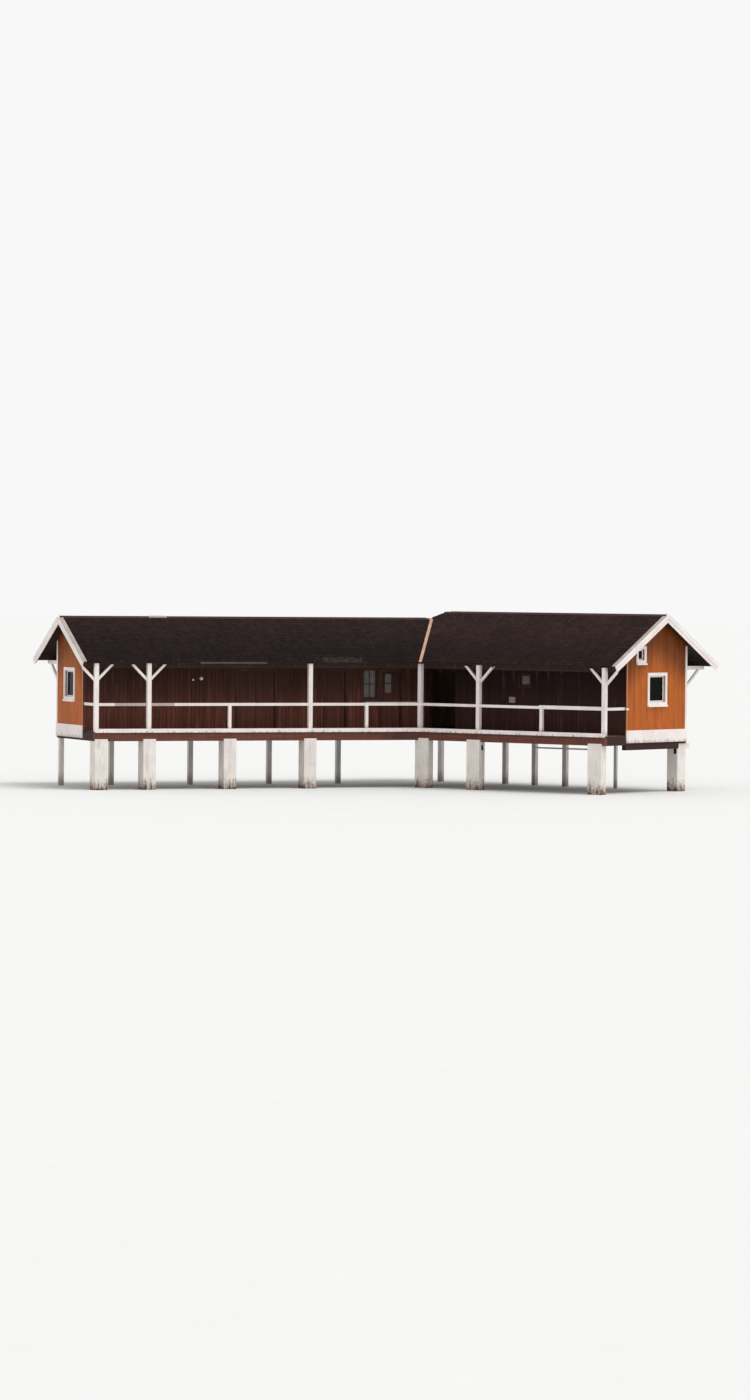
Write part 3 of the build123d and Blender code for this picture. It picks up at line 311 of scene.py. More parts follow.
def painted_eave_shade(mat):
    """Share of light left on a gallery wall: painted shade, darker near the roof."""
    return mat.span(mat.axis(2), FLOOR + 0.5, FLOOR + 1.9, 1, 0.36)


def wood(
    name, colour, axis, cad=False, rough=0.75, depth=0.0012, dark=0.62, tones=0, fade=0.22,
    painted_roof_shade=None, rooms=None
):
    """Stained, weathered wood with grain along an axis and a tone for each made board.

    painted_roof_shade: gives the share of light left where a roof has kept the sun off, as painted
    shade.
    rooms: X and Y ranges of the rooms behind a wall, where its wood is bare.
    """
    mat = Shade(name, colour, cad)
    shift = mat.math("MULTIPLY", mat.tone(), TONE_SHIFT) if tones else None
    grain = mat.noise(drawn_out(axis, 1.3, 26), 6, 0.6, 0.4, shift)
    fibre = mat.noise(drawn_out(axis, 7, 240), 3, 0.5, 0, shift)
    weather = mat.noise(drawn_out(axis, 0.5, 1.4), 5, 0.6, 0, shift)
    light = mat.span(grain, 0.3, 0.72, dark, 1.12)
    light = mat.times(light, weather, *MID, 0.82, 1.14)
    light = mat.times(light, fibre, *MID, 0.92, 1.05)
    if tones:
        light = mat.times(light, mat.tone(), 0, 1, 1 - tones, 1 + tones)
    # Painted shade under a roof, when one is given
    if painted_roof_shade:
        light = mat.math("MULTIPLY", light, painted_roof_shade(mat))
    if rooms:
        (x0, x1), (y0, y1) = rooms
        indoors = mat.between(0, x0, x1, SHARP)
        indoors = mat.math("MULTIPLY", indoors, mat.between(1, y0, y1, SHARP))
        mat.stain(BARE_WOOD, indoors)
    mat.brighten(light)
    mat.stain(WEATHERED_WOOD, weather, 0.56, 0.8, 0, fade)
    mat.bump(fibre, depth * 0.5)
    mat.bump(grain, depth)
    return mat.finish(mat.span(grain, *MID, rough - 0.1, min(1, rough + 0.12)), 0.2)


def gable_wood(name, ridge):
    """Orange stain of the boards of a gable, with painted shade under its verges."""
    return wood(
        name, (186, 97, 34), 2, rough=0.6, dark=0.82, tones=0.09, fade=0.1,
        painted_roof_shade=lambda mat: painted_verge_shade(mat, ridge)
    )


def front_beam(name):
    """Red-brown stain, redder low down, with painted shadow under the toe boards and painted shade at
    the bend.
    """
    mat = Shade(name, (108, 64, 52), True)
    grain = mat.noise((0.9, 18, 22), 6, 0.6, 0.5)
    weather = mat.noise((0.7, 2, 3), 5)
    drip = mat.noise((8, 8, 1), 4)
    light = mat.span(grain, *MID, 0.76, 1.12)
    light = mat.times(light, drip, 0.35, 0.7, 0.86, 1.08)
    # Painted shadow of the toe boards along the top of the beam
    light = mat.times(light, mat.axis(2), BEAM_TOP - 0.1, BEAM_TOP - 0.03, 1, 0.7)
    mat.brighten(light)
    mat.stain((84, 52, 44), weather, 0.5, 0.75, 0, 0.4)
    mat.stain((130, 68, 56), mat.axis(2), BEAM_TOP - 0.31, BEAM_TOP - 0.25, 0.45, 0)
    # Painted shade at the bend, mottled by noise
    mat.stain((62, 40, 36), mat.times(mat.between(0, -1.5, 0.1, 0.5), weather, 0.3, 0.6, 0.25, 0.6))
    mat.bump(grain, 0.002)
    return mat.finish(mat.span(weather, *MID, 0.6, 0.82), 0.25)


def paint(
    name, axis, cad=False, colour=(245, 235, 231), worn=0.5, dirt=None, patch=None, corner=None
):
    """Brushed white paint, worn bare in places, with dirt towards its foot.

    dirt: level where it is full, level where it ends and its colour.
    patch: stretch along wing A with a colour of its own.
    corner: colour of the gable's corner board on the gallery side.
    """
    mat = Shade(name, colour, cad)
    brush = mat.noise(drawn_out(axis, 3, 90), 3, 0.5)
    cloud = mat.noise(1.1, 5)
    flake = mat.noise(drawn_out(axis, 5, 34), 6, 0.65, 0.6)
    streak = mat.noise((9, 9, 1.2), 4)
    if patch:
        low, high, tint = patch
        mat.stain(tint, mat.between(0, low, high))
    if corner:
        board = mat.between(1, GALLERY - 0.1, GALLERY + 0.065, SHARP)
        above_skirt = mat.math("GREATER_THAN", mat.axis(2), SKIRT_Z1 + 0.001)
        mat.stain(corner, mat.math("MULTIPLY", board, above_skirt))
    mat.brighten(cloud, *MID, 0.9, 1.03)
    mat.brighten(brush, *MID, 0.95, 1.02)
    mat.stain((150, 139, 128), streak, 0.54, 0.8, 0, 0.3)
    bare = mat.span(flake, 0.81 - 0.1 * worn, 0.85 - 0.1 * worn)
    mat.stain((126, 108, 94), bare)
    if dirt:
        low, high, tint = dirt
        level = mat.math("ADD", mat.axis(2), mat.span(streak, 0.2, 0.8, -0.12, 0.12))
        mat.stain(tint, level, low, high, 0.7, 0)
    mat.bump(brush, 0.0005)
    mat.bump(mat.math("SUBTRACT", 1, bare), 0.0008)
    return mat.finish(mat.span(cloud, *MID, 0.42, 0.62))


def concrete(name):
    """Whitewashed concrete with pits, board marks and brown stains low down."""
    mat = Shade(name, (240, 233, 226), True)
    cloud = mat.noise(1.7, 6, 0.65)
    pits = mat.noise(60, 3)
    runs = mat.noise((11, 11, 0.9), 5)
    lumps = mat.noise(9, 6)
    mat.brighten(cloud, 0.28, 0.72, 0.88, 1.04)
    mat.stain((150, 136, 122), runs, 0.5, 0.78, 0, 0.4)
    level = mat.math("ADD", mat.axis(2), mat.span(runs, 0.2, 0.8, -0.2, 0.2))
    level = mat.math("ADD", level, mat.span(lumps, *MID, -0.1, 0.1))
    mat.stain((120, 86, 62), level, 0.04, 0.5, 0.8, 0)
    mat.stain((62, 50, 38), level, 0, 0.14, 0.85, 0)
    mat.stain((120, 112, 104), pits, 0.62, 0.78, 0, 0.5)
    mark = mat.math("FRACT", mat.math("MULTIPLY", mat.axis(2), 5))
    mat.bump(mat.span(mark, 0, 0.05), 0.002)
    mat.bump(lumps, 0.006)
    mat.bump(pits, 0.002)
    return mat.finish(0.86, 0.3)


def shingle(name, colour=(37, 25, 23), moss_at=None):
    """Granular shingles, bleached towards the ridge and mossy near the eave.

    moss_at: stretch along the wing with more moss, and the level it reaches.
    """
    mat = Shade(name, colour)
    grit = mat.noise(420, 2)
    patch = mat.noise(0.55, 5, 0.65)
    run = mat.noise((7, 0.8, 0.8), 4)
    light = mat.span(mat.tone(), 0, 1, 0.8, 1.2)
    light = mat.times(light, patch, *MID, 0.9, 1.1)
    light = mat.times(light, run, *MID, 0.86, 1.12)
    light = mat.times(light, grit, *MID, 0.8, 1.2)
    light = mat.times(light, mat.axis(2), EAVE_Z, EAVE_Z + 1.7, 0.7, 1.4)
    mat.brighten(light)
    mat.stain((66, 46, 41), patch, 0.58, 0.78, 0, 0.25)
    moss = mat.noise(6, 6, 0.7)
    near_eave = mat.span(mat.axis(2), EAVE_Z + 0.02, EAVE_Z + 0.5, 0.08, 0)
    grown = mat.math("ADD", moss, near_eave)
    if moss_at:
        low, high, top = moss_at
        spot = mat.math("MULTIPLY", mat.between(0, low, high, 0.3), 0.19)
        spot = mat.times(spot, mat.axis(2), EAVE_Z, top, 1, 0)
        grown = mat.math("ADD", grown, spot)
    grown = mat.span(grown, 0.62, 0.8, 0, 0.8)
    mat.stain((58, 54, 48), grown)
    mat.bump(grit, 0.0012)
    mat.bump(grown, 0.004)
    return mat.finish(0.92, 0.08)


def roof_board(name):
    """Roof slab: felt on top and dark boards with open joints below."""
    mat = Shade(name, (44, 36, 34), True)
    grain = mat.noise((1.2, 24, 24), 5)
    mat.brighten(mat.noise(90, 3), *MID, 0.7, 1.2)
    felt = mat.colour
    joint = mat.math("FRACT", mat.math("MULTIPLY", mat.axis(1), 7.4))
    joint = mat.span(mat.math("PINGPONG", joint, 0.5), 0.02, 0.05)
    mat.colour = srgb(54, 39, 32)
    mat.brighten(grain, *MID, 0.6, 1.15)
    mat.brighten(joint, 0, 1, 0.2, 1)
    mat.colour = mat.mix(mat.facing_up(), mat.colour, felt)
    mat.bump(joint, 0.006)
    mat.bump(grain, 0.001)
    return mat.finish(0.85, 0.2)


def deck_boards(name):
    """Boards across the gallery, worn grey on top, with stained ends."""
    mat = Shade(name, (70, 46, 40), True)
    number = mat.math("DIVIDE", mat.axis(0), 0.14)
    joint = mat.span(mat.math("PINGPONG", number, 0.5), 0.02, 0.045)
    whole = mat.math("FLOOR", mat.math("ADD", number, 0.5))
    shift = mat.math("MULTIPLY", whole, 7.31)
    grain = mat.noise((60, 2.2, 2.2), 6, 0.6, 0, shift)
    each = mat.add("TexWhiteNoise", noise_dimensions="1D")
    mat.feed(each, W=whole)
    light = mat.span(each.outputs["Value"], 0, 1, 0.82, 1.12)
    light = mat.times(light, grain, *MID, 0.7, 1.15)
    light = mat.times(light, joint, 0, 1, 0.15, 1)
    mat.bump(joint, 0.008)
    mat.bump(grain, 0.0015)
    mat.stain((128, 108, 92), mat.facing_up())
    mat.brighten(light)
    return mat.finish(0.85, 0.2)


def sheet(name, colour, rough=0.5, metallic=0, lap=0, dusty=0.4, cad=True, sheen=0.5):
    """Dented, dusty sheet, with a lap at every so many metres."""
    mat = Shade(name, colour, cad)
    dent = mat.noise(3, 3, 0.5)
    dust = mat.noise(14, 6, 0.7)
    mat.brighten(dent, *MID, 0.8, 1.1)
    mat.stain((96, 84, 74), dust, 0.5, 0.75, 0, dusty)
    if lap:
        step = mat.math("FRACT", mat.math("MULTIPLY", mat.axis(0), 1 / lap))
        mat.bump(mat.span(step, 0, 0.06), 0.006)
    mat.bump(dent, 0.004)
    mat.bump(mat.noise(160, 2, 0.5), 0.0006)
    return mat.finish(mat.span(dust, *MID, rough - 0.1, rough + 0.2), sheen, metallic)


def pane(name):
    """Dark glass, with a pale painted reflection, mottled by dust noise, on the gallery windows."""
    mat = Shade(name, (34, 33, 32), True)
    dust = mat.noise((14, 14, 5), 5)
    gallery = mat.between(1, GALLERY - 0.1, GALLERY + 0.3)
    # Pale patches on the gallery windows: painted reflection, mottled by noise
    painted_reflection = mat.times(gallery, dust, *MID, 0.72, 0.92)
    mat.bump(mat.noise(2.2, 2, 0.5), 0.002)
    mat.feed(mat.shader, IOR=1.12, Transmission_Weight=mat.span(painted_reflection, 0, 1, 0.9, 0.05))
    mat.stain((132, 128, 125), painted_reflection)
    return mat.finish(mat.span(dust, 0.3, 0.75, 0.03, 0.2), 0.15)


# Colours and places that the materials use
DARK_STAIN = (74, 44, 37)
TIMBER_STAIN = (62, 44, 37)
ORANGE_CORE = (120, 64, 30)
GREY_STRETCH = (-12.5, -10.1, (190, 174, 170))
SKIRT_DIRT = (BEAM_TOP - 0.3, BEAM_TOP - 0.1, (150, 132, 116))
INNER = WALL_T - 0.004
PAST_BEND = 3
ROOMS_A = ((END_A + INNER, PAST_BEND), (GALLERY + INNER, BACK_A - INNER))
ROOMS_B = ((WALL_LEFT + INNER, END_B - INNER), (GALLERY + INNER, BACK_B - INNER))
POST_DIRT = (FLOOR - 0.05, FLOOR + 0.25, (120, 104, 88))
TOE_DIRT = (BEAM_TOP - 0.1, BEAM_TOP + 0.05, (128, 104, 88))
FOOT_DIRT = (0.05, 0.6, (104, 86, 66))

# Materials of made pieces. CAD nodes have BEAM_Y and STEEL as well.
WHITE_MADE = paint("white_board", 0)
WHITE_CAP = paint("white_rail_cap", 0, patch=GREY_STRETCH)
GREY_BOARD = paint("grey_rail_cover", 0, False, (172, 161, 160), 0.8)
DARK_BOARD = wood("wall_board", (80, 46, 38), 2, tones=0.16)
# One stain on both gallery walls, painted lighter on wing A and darker on wing B: painted light and
# painted shade
GALLERY_A_PAINTED_LIGHT = wood("gallery_board_a_painted_light", (116, 68, 55), 2, tones=0.14, painted_roof_shade=painted_eave_shade)
GALLERY_B_PAINTED_SHADE = wood("gallery_board_b_painted_shade", (68, 40, 34), 2, tones=0.14, painted_roof_shade=painted_eave_shade)
DOOR_BOARD = wood("door_board", (110, 64, 51), 2, rough=0.6, tones=0.1, painted_roof_shade=painted_eave_shade)
ORANGE_A = gable_wood("gable_board_a", RIDGE_A)
ORANGE_B = gable_wood("gable_board_b", RIDGE_B)
BEAM_Y = wood("cross_beam_stain", (66, 43, 38), 1, True, depth=0.002)
VERGE_SHEET = sheet("verge_sheet", (166, 154, 146), lap=1, cad=False)
DRIP_SHEET = sheet("drip_edge_sheet", (76, 70, 67), metallic=0.2, lap=1.2, cad=False)
STEEL = sheet("black_steel", (30, 29, 28), metallic=0.6, dusty=0.2)
BOLT_STEEL = sheet("bolt_steel", (96, 92, 88), metallic=0.7, dusty=0.5, cad=False)
LAMP_WHITE = sheet("lamp_glass", (226, 224, 220), 0.3, dusty=0.15, cad=False)
BOX_GREY = sheet("connection_box_plastic", (146, 136, 124), dusty=0.3, cad=False)
SHINGLE = shingle("roof_shingle")
# Wing A's front shingles: the same shingle in a darker colour, painted shade, with a moss spot near
# the eave
SHINGLE_MOSS_PAINTED_SHADE = shingle("roof_shingle_mossy_painted_shade", (32, 22, 21), (-4.2, -2.4, EAVE_Z + 0.35))


def give(material, *nodes):
    """Gives CAD nodes a material."""
    for node in nodes:
        slots = NODES[node].data.materials
        if not slots:
            slots.append(material)
        for index in range(len(slots)):
            slots[index] = material


give(concrete("pier_concrete"), "piers")
give(paint("white_rear_post", 2, True, (244, 237, 231), dirt=FOOT_DIRT), "rear_posts", "rear_tie")
give(front_beam("beam_stain"), "long_beams")
give(BEAM_Y, "cross_beams", "joists")
give(deck_boards("deck_boards"), "deck")
give(paint("white_toe_board", 0, True, worn=0.7, dirt=TOE_DIRT), "toe_boards")
give(paint("white_rail", 0, True, patch=GREY_STRETCH), "top_rails", "bargeboards")
white_post = paint("white_post", 2, True, dirt=POST_DIRT)
give(white_post, "rail_posts", "gallery_posts", "post_braces")
white_trim = paint("white_trim", 2, True, worn=0.35, dirt=SKIRT_DIRT)
give(white_trim, "gable_windows", "eave_brackets")
ORANGE_CORNER = (196, 122, 74)
white_gable = paint("white_gable_trim", 2, True, worn=0.35, dirt=SKIRT_DIRT, corner=ORANGE_CORNER)
give(white_gable, "gable_trim")
timber = wood("roof_timber_along", TIMBER_STAIN, 0, True)
give(timber, "eave_plates", "ridge_boards", "rear_plates")
timber = wood("roof_timber_across", TIMBER_STAIN, 1, True)
give(timber, "rafters_a", "rafters_b", "hip_boards")
slab = roof_board("roof_board")
give(slab, "roof_a_front", "roof_a_back", "roof_b_front", "roof_b_back", "roof_hip")
ridge_sheet = sheet("ridge_cap_sheet", (62, 42, 37), 0.7, lap=0.9, dusty=0.15, sheen=0.15)
give(ridge_sheet, "ridge_caps")
give(sheet("valley_sheet", (190, 147, 120)), "valley_strips")
give(wood("dark_wall_core", DARK_STAIN, 2, True), "wall_heads")
give(wood("wall_core_a", DARK_STAIN, 2, True, rooms=ROOMS_A), "wall_a_front", "wall_a_back")
give(wood("wall_core_b", DARK_STAIN, 2, rooms=ROOMS_B), "wall_b_front", "wall_b_back")
give(wood("gable_core_a", ORANGE_CORE, 2, True, rooms=ROOMS_A), "gable_a")
give(wood("gable_core_b", ORANGE_CORE, 2, rooms=ROOMS_B), "gable_b")
door_core = wood("door_core", (72, 43, 36), 2, True, rough=0.6)
give(door_core, "door_1", "door_2", "door_3_left", "door_3_right", "door_casings", "window_sashes")
give(pane("window_pane"), "window_glass", "door_1_glass")
give(STEEL, "hinge_pins")


def placed(name, data):
    """New object in the scene."""
    made = bpy.data.objects.new(name, data)
    bpy.context.scene.collection.objects.link(made)
    return made


SIXTHS = [math.pi * i / 3 for i in range(6)]


def spokes(axis, count):
    """Unit vector along an axis, and unit vectors round it."""
    axis = Vector(axis).normalized()
    across = axis.orthogonal().normalized()
    up = axis.cross(across)
    turns = [2 * math.pi * i / count for i in range(count)]
    return axis, [across * math.cos(a) + up * math.sin(a) for a in turns]


class Piece:
    """Collects closed solids into one mesh, each with its own tone."""

    def __init__(self):
        self.points = []
        self.faces = []
        self.tones = []

    def solid(self, *rings, tone=0.5, closed=False):
        """Solid through rings of as many points, with capped ends or closed on itself."""
        count = len(rings[0])
        before = len(self.faces)
        firsts = [len(self.points) + level * count for level in range(len(rings))]
        self.points += [tuple(p) for ring in rings for p in ring]
        if not closed:
            self.faces += [[first + i for i in range(count)] for first in (firsts[0], firsts[-1])]
        for a, b in zip(firsts, firsts[1:] + firsts[:1] * closed):
            for i in range(count):
                j = (i + 1) % count
                self.faces.append([a + i, a + j, b + j, b + i])
        self.tones += [tone] * (len(self.faces) - before)

    def block(self, low, high, edge=0):
        """Block between two corners, its upright edges cut back."""
        (x0, y0, z0), (x1, y1, z1) = low, high
        ring = [(x0, y0), (x1, y0), (x1, y1), (x0, y1)]
        if edge:
            ring = [(x0 + edge, y0), (x1 - edge, y0), (x1, y0 + edge), (x1, y1 - edge)]
            ring += [(x1 - edge, y1), (x0 + edge, y1), (x0, y1 - edge), (x0, y0 + edge)]
        self.solid([(*p, z0) for p in ring], [(*p, z1) for p in ring])

    def lathe(self, centre, out, profile, sides=8):
        """Turned shape on a face, from (height, radius) pairs."""
        out, around = spokes(out, sides)
        self.solid(*([Vector(centre) + out * h + spoke * r for spoke in around] for h, r in profile))

    def knob(self, centre, out, radius, height, sides=8, shrink=0.6):
        """Round head on a face."""
        self.lathe(centre, out, [(0, radius), (height, radius * shrink)], sides)

    def loop(self, centre, axis, radius, thick, sides=14):
        """Round ring of six-sided bar about an axis."""
        axis, around = spokes(axis, sides)
        bar = [(radius + thick * math.cos(a), thick * math.sin(a)) for a in SIXTHS]
        rings = ([Vector(centre) + (spoke * r + axis * h) for r, h in bar] for spoke in around)
        self.solid(*rings, closed=True)

    def make(self, name, material, slot, wing=WING_B, body="building"):
        """Object in the frame of a wing, riding on a body."""
        mesh = bpy.data.meshes.new(name)
        mesh.from_pydata(self.points, [], self.faces)
        shape = bmesh.new()
        shape.from_mesh(mesh)
        bmesh.ops.recalc_face_normals(shape, faces=shape.faces)
        shape.to_mesh(mesh)
        shape.free()
        tones = mesh.attributes.new("tone", "FLOAT", "FACE")
        tones.data.foreach_set("value", self.tones)
        mesh.materials.append(material)
        made = placed(name, mesh)
        made.matrix_world = wing
        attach(made, body)


def clip(polygon, edges):
    """Part of a polygon inside every (point, inward normal, inset) edge."""
    for (px, py), (nx, ny), inset in edges:
        kept = []
        for i, a in enumerate(polygon):
            b = polygon[i - 1]
            da = (a[0] - px) * nx + (a[1] - py) * ny - inset
            db = (b[0] - px) * nx + (b[1] - py) * ny - inset
            if (da >= 0) != (db >= 0):
                share = db / (db - da)
                kept.append((b[0] + (a[0] - b[0]) * share, b[1] + (a[1] - b[1]) * share))
            if da >= 0:
                kept.append(a)
        polygon = kept
        if len(polygon) < 3:
            return []
    return polygon


def edges_of(outline, insets):
    """Edges to clip by, of a convex outline given anticlockwise."""
    found = []
    for i, inset in enumerate(insets):
        (ax, ay), (bx, by) = outline[i], outline[(i + 1) % len(outline)]
        length = math.hypot(bx - ax, by - ay)
        found.append(((ax, ay), ((ay - by) / length, (bx - ax) / length), inset))
    return found


def area(polygon):
    """Area of a polygon."""
    turns = zip(polygon, polygon[1:] + polygon[:1])
    return abs(sum(a[0] * b[1] - b[0] * a[1] for a, b in turns)) / 2


# Shingles: courses of wedges from eave to ridge, clipped to each slope
SHINGLE_W = 0.18
SHINGLE_STEP = 0.15 * math.cos(PITCH)
SHINGLE_LAP = 0.05
SHINGLE_GAP = 0.006
SHINGLE_LIP = -0.022
BUTT = 0.02
HEAD = 0.009
LIFT = 0.0005
CAP_W = 0.13
VALLEY_OPEN = 0.06
VERGE_W = 0.13
SMALLEST = 2e-4


def cover(name, wing, seed, start, rise, outline, insets, material=SHINGLE):
    """Shingles over one slope. rise: unit direction up it in plan, from the start point."""
    rng = random.Random(seed)
    edges = edges_of(outline, insets)
    along = (-rise[1], rise[0])

    def to_slope(point):
        dx, dy = point[0] - start[0], point[1] - start[1]
        return dx * along[0] + dy * along[1], dx * rise[0] + dy * rise[1]

    flat = [to_slope(p) for p in outline]
    t0, t1 = min(p[0] for p in flat), max(p[0] for p in flat)
    top = max(p[1] for p in flat)
    length = SHINGLE_STEP + SHINGLE_LAP
    piece = Piece()
    for row in range(int((top - SHINGLE_LIP) / SHINGLE_STEP) + 1):
        s0 = SHINGLE_LIP + row * SHINGLE_STEP
        s1 = s0 + length
        t = t0 - rng.random() * SHINGLE_W
        while t < t1:
            width = SHINGLE_W * rng.uniform(0.92, 1.08)
            butt = BUTT * rng.uniform(0.85, 1.2)
            foot = s0 + rng.uniform(-0.005, 0.005)
            tone = rng.random()
            a, b = t + SHINGLE_GAP / 2, t + width - SHINGLE_GAP / 2
            t += width
            points = [
                (start[0] + p * along[0] + q * rise[0], start[1] + p * along[1] + q * rise[1])
                for p, q in ((a, foot), (b, foot), (b, s1), (a, s1))
            ]
            points = clip(points, edges)
            if area(points) < SMALLEST:
                continue
            low, high = [], []
            for x, y in points:
                s = to_slope((x, y))[1]
                z = EAVE_Z + s * SLOPE + LIFT
                share = min(1, max(0, (s - s0) / length))
                low.append((x, y, z))
                high.append((x, y, z + butt + (HEAD - butt) * share))
            piece.solid(low, high, tone=tone)
    piece.make(name, material, "shingles", wing)


BEND_RIDGE_A = (RIDGE_A * MITRE, RIDGE_A)
cover(
    "shingles_a_front", WING_A, 11, (0, EAVE_Y), (0, 1),
    [(VERGE_A, EAVE_Y), (-EAVE_CORNER[0], EAVE_Y), BEND_RIDGE_A, (VERGE_A, RIDGE_A)],
    [SHINGLE_LIP, VALLEY_OPEN, CAP_W, VERGE_W],
    SHINGLE_MOSS_PAINTED_SHADE,
)
BEND_EAVE_A = (along_a(VALLEY_FOOT), BACK_EAVE_A)
cover(
    "shingles_a_back", WING_A, 12, (0, BACK_EAVE_A), (0, -1),
    [(VERGE_A, RIDGE_A), BEND_RIDGE_A, BEND_EAVE_A, (VERGE_A, BACK_EAVE_A)],
    [CAP_W, VALLEY_OPEN, 0, VERGE_W],
)
cover(
    "shingles_b_front", WING_B, 13, (0, EAVE_Y), (0, 1),
    [EAVE_CORNER, (VERGE_B, EAVE_Y), (VERGE_B, RIDGE_B), RIDGE_START, RIDGE_END],
    [SHINGLE_LIP, VERGE_W, CAP_W, 0, VALLEY_OPEN],
)
cover(
    "shingles_b_back", WING_B, 14, (0, BACK_EAVE_B), (0, -1),
    [RIDGE_START, (VERGE_B, RIDGE_B), (VERGE_B, BACK_EAVE_B), HIP_FOOT],
    [CAP_W, VERGE_W, 0, 0],
)
cover(
    "shingles_hip", WING_B, 15, (HIP_EAVE, 0), (1, 0),
    [RIDGE_END, RIDGE_START, HIP_FOOT, VALLEY_FOOT],
    [0, 0, 0, VALLEY_OPEN],
)


def slope_z(start, rise):
    """Height over a plan point of a slope that rises from the start point."""
    return lambda x, y: EAVE_Z + ((x - start[0]) * rise[0] + (y - start[1]) * rise[1]) * SLOPE


FRONT_Z = slope_z((0, EAVE_Y), (0, 1))
BACK_Z = slope_z((0, BACK_EAVE_B), (0, -1))
HIP_Z = slope_z((HIP_EAVE, 0), (1, 0))

# Cap shingles along the hips, laid over the two slopes that meet there
HIP_CAP = 0.3
HIP_CAP_W = 0.12
HIP_CAP_LAP = 0.06
HIP_CAP_HEAD, HIP_CAP_BUTT = 0.026, 0.034
HIP_STOP = 0.16
ROOF_EDGES = [((HIP_EAVE, 0), (1, 0), 0), ((0, BACK_EAVE_B), (0, -1), 0)]


def hip_caps(piece, foot, head, left, right, rng):
    """Bent cap shingles up a hip, over the slopes left and right of it."""
    foot, head = Vector(foot), Vector(head)
    run = head - foot
    length = run.length - HIP_STOP
    run.normalize()
    side = Vector((-run.y, run.x))
    count = round(length / HIP_CAP)
    step = length / count
    for i in range(count):
        tone = rng.random()
        d0, d1 = i * step, min(length, (i + 1) * step + HIP_CAP_LAP)
        for sign, height in ((1, left), (-1, right)):
            ring = [foot + run * d0, foot + run * d1]
            ring += [ring[1] + side * sign * HIP_CAP_W, ring[0] + side * sign * HIP_CAP_W]
            ring = clip([tuple(p) for p in ring], ROOF_EDGES)
            low, high = [], []
            for x, y in ring:
                share = (Vector((x, y)) - foot).dot(run) - d0
                thick = HIP_CAP_BUTT + (HIP_CAP_HEAD - HIP_CAP_BUTT) * share / (d1 - d0)
                low.append((x, y, height(x, y) + LIFT))
                high.append((x, y, height(x, y) + thick))
            piece.solid(low, high, tone=tone)


hip_rng = random.Random(16)
caps = Piece()
hip_caps(caps, HIP_FOOT, RIDGE_START, HIP_Z, BACK_Z, hip_rng)
hip_caps(caps, RIDGE_END, RIDGE_START, HIP_Z, FRONT_Z, hip_rng)
caps.make("hip_caps", SHINGLE, "shingles")

# Verge flashing: pale sheet beside each bargeboard, lapped over its top
BARGE_TOP = 0.0215
BARGE_OUT = 0.048
VERGE_T = 0.03
VERGE_T_IN = 0.028


def verge(piece, x_roof, out, y_eave, y_ridge):
    """Flashing on one slope along a verge that looks along out."""
    x0, x1, x2 = x_roof - out * VERGE_W, x_roof, x_roof + out * BARGE_OUT
    stop = y_ridge + math.copysign(CAP_W, y_eave - y_ridge)
    z_stop = EAVE_Z + abs(stop - y_eave) * SLOPE
    section = [(x0, LIFT), (x1, LIFT), (x1, BARGE_TOP), (x2, BARGE_TOP)]
    section += [(x2, VERGE_T), (x0, VERGE_T_IN)]
    ends = ((y_eave, EAVE_Z), (stop, z_stop))
    piece.solid(*([(x, y, z + dz) for x, dz in section] for y, z in ends))


for name, wing, place, out, back_eave, ridge in (
    ("verge_flashing_b", WING_B, VERGE_B, 1, BACK_EAVE_B, RIDGE_B),
    ("verge_flashing_a", WING_A, VERGE_A, -1, BACK_EAVE_A, RIDGE_A),
):
    flashing = Piece()
    verge(flashing, place, out, EAVE_Y, ridge)
    verge(flashing, place, out, back_eave, ridge)
    flashing.make(name, VERGE_SHEET, "valley_metal", wing)

# Drip edge on part of wing A's eave, and a paler piece on its ridge
DRIP_ENDS = (-9.1, -6.4)
DRIP_RING = [(0, 0.07), (0.006, 0.07), (0.03, 0), (0, 0)]
drip = Piece()
drip.solid(*([(x, EAVE_Y - y, EAVE_Z - z) for y, z in DRIP_RING] for x in DRIP_ENDS))
drip.make("drip_edge", DRIP_SHEET, "valley_metal", WING_A)
PATCH_ENDS = (-10.16, -9.44)
PATCH_W, PATCH_T = 0.1, 0.016
RIDGE_CAP_RISE = 0.0207
RIDGE_TOP = FRONT_Z(0, RIDGE_A) + RIDGE_CAP_RISE
patch = Piece()
for sign in (-1, 1):
    fall = -PATCH_W * SLOPE
    ring = [(0, 0), (sign * PATCH_W, fall), (sign * PATCH_W, PATCH_T + fall), (0, PATCH_T)]
    patch.solid(*([(x, RIDGE_A + y, RIDGE_TOP + z) for y, z in ring] for x in PATCH_ENDS))
patch.make("ridge_patch", VERGE_SHEET, "valley_metal", WING_A)

# Upright wall boards with open joints
BOARD_W = 0.14
BOARD_T = 0.016
BOARD_GAP = 0.006
WIDE_GAP = 0.02
BEVEL = 0.003
THINNEST = 0.04
SHORTEST = 0.01
GALLERY_BOARDS = {"width": 0.161, "open_by": 3}
WALL_FOOT = FLOOR + 0.008


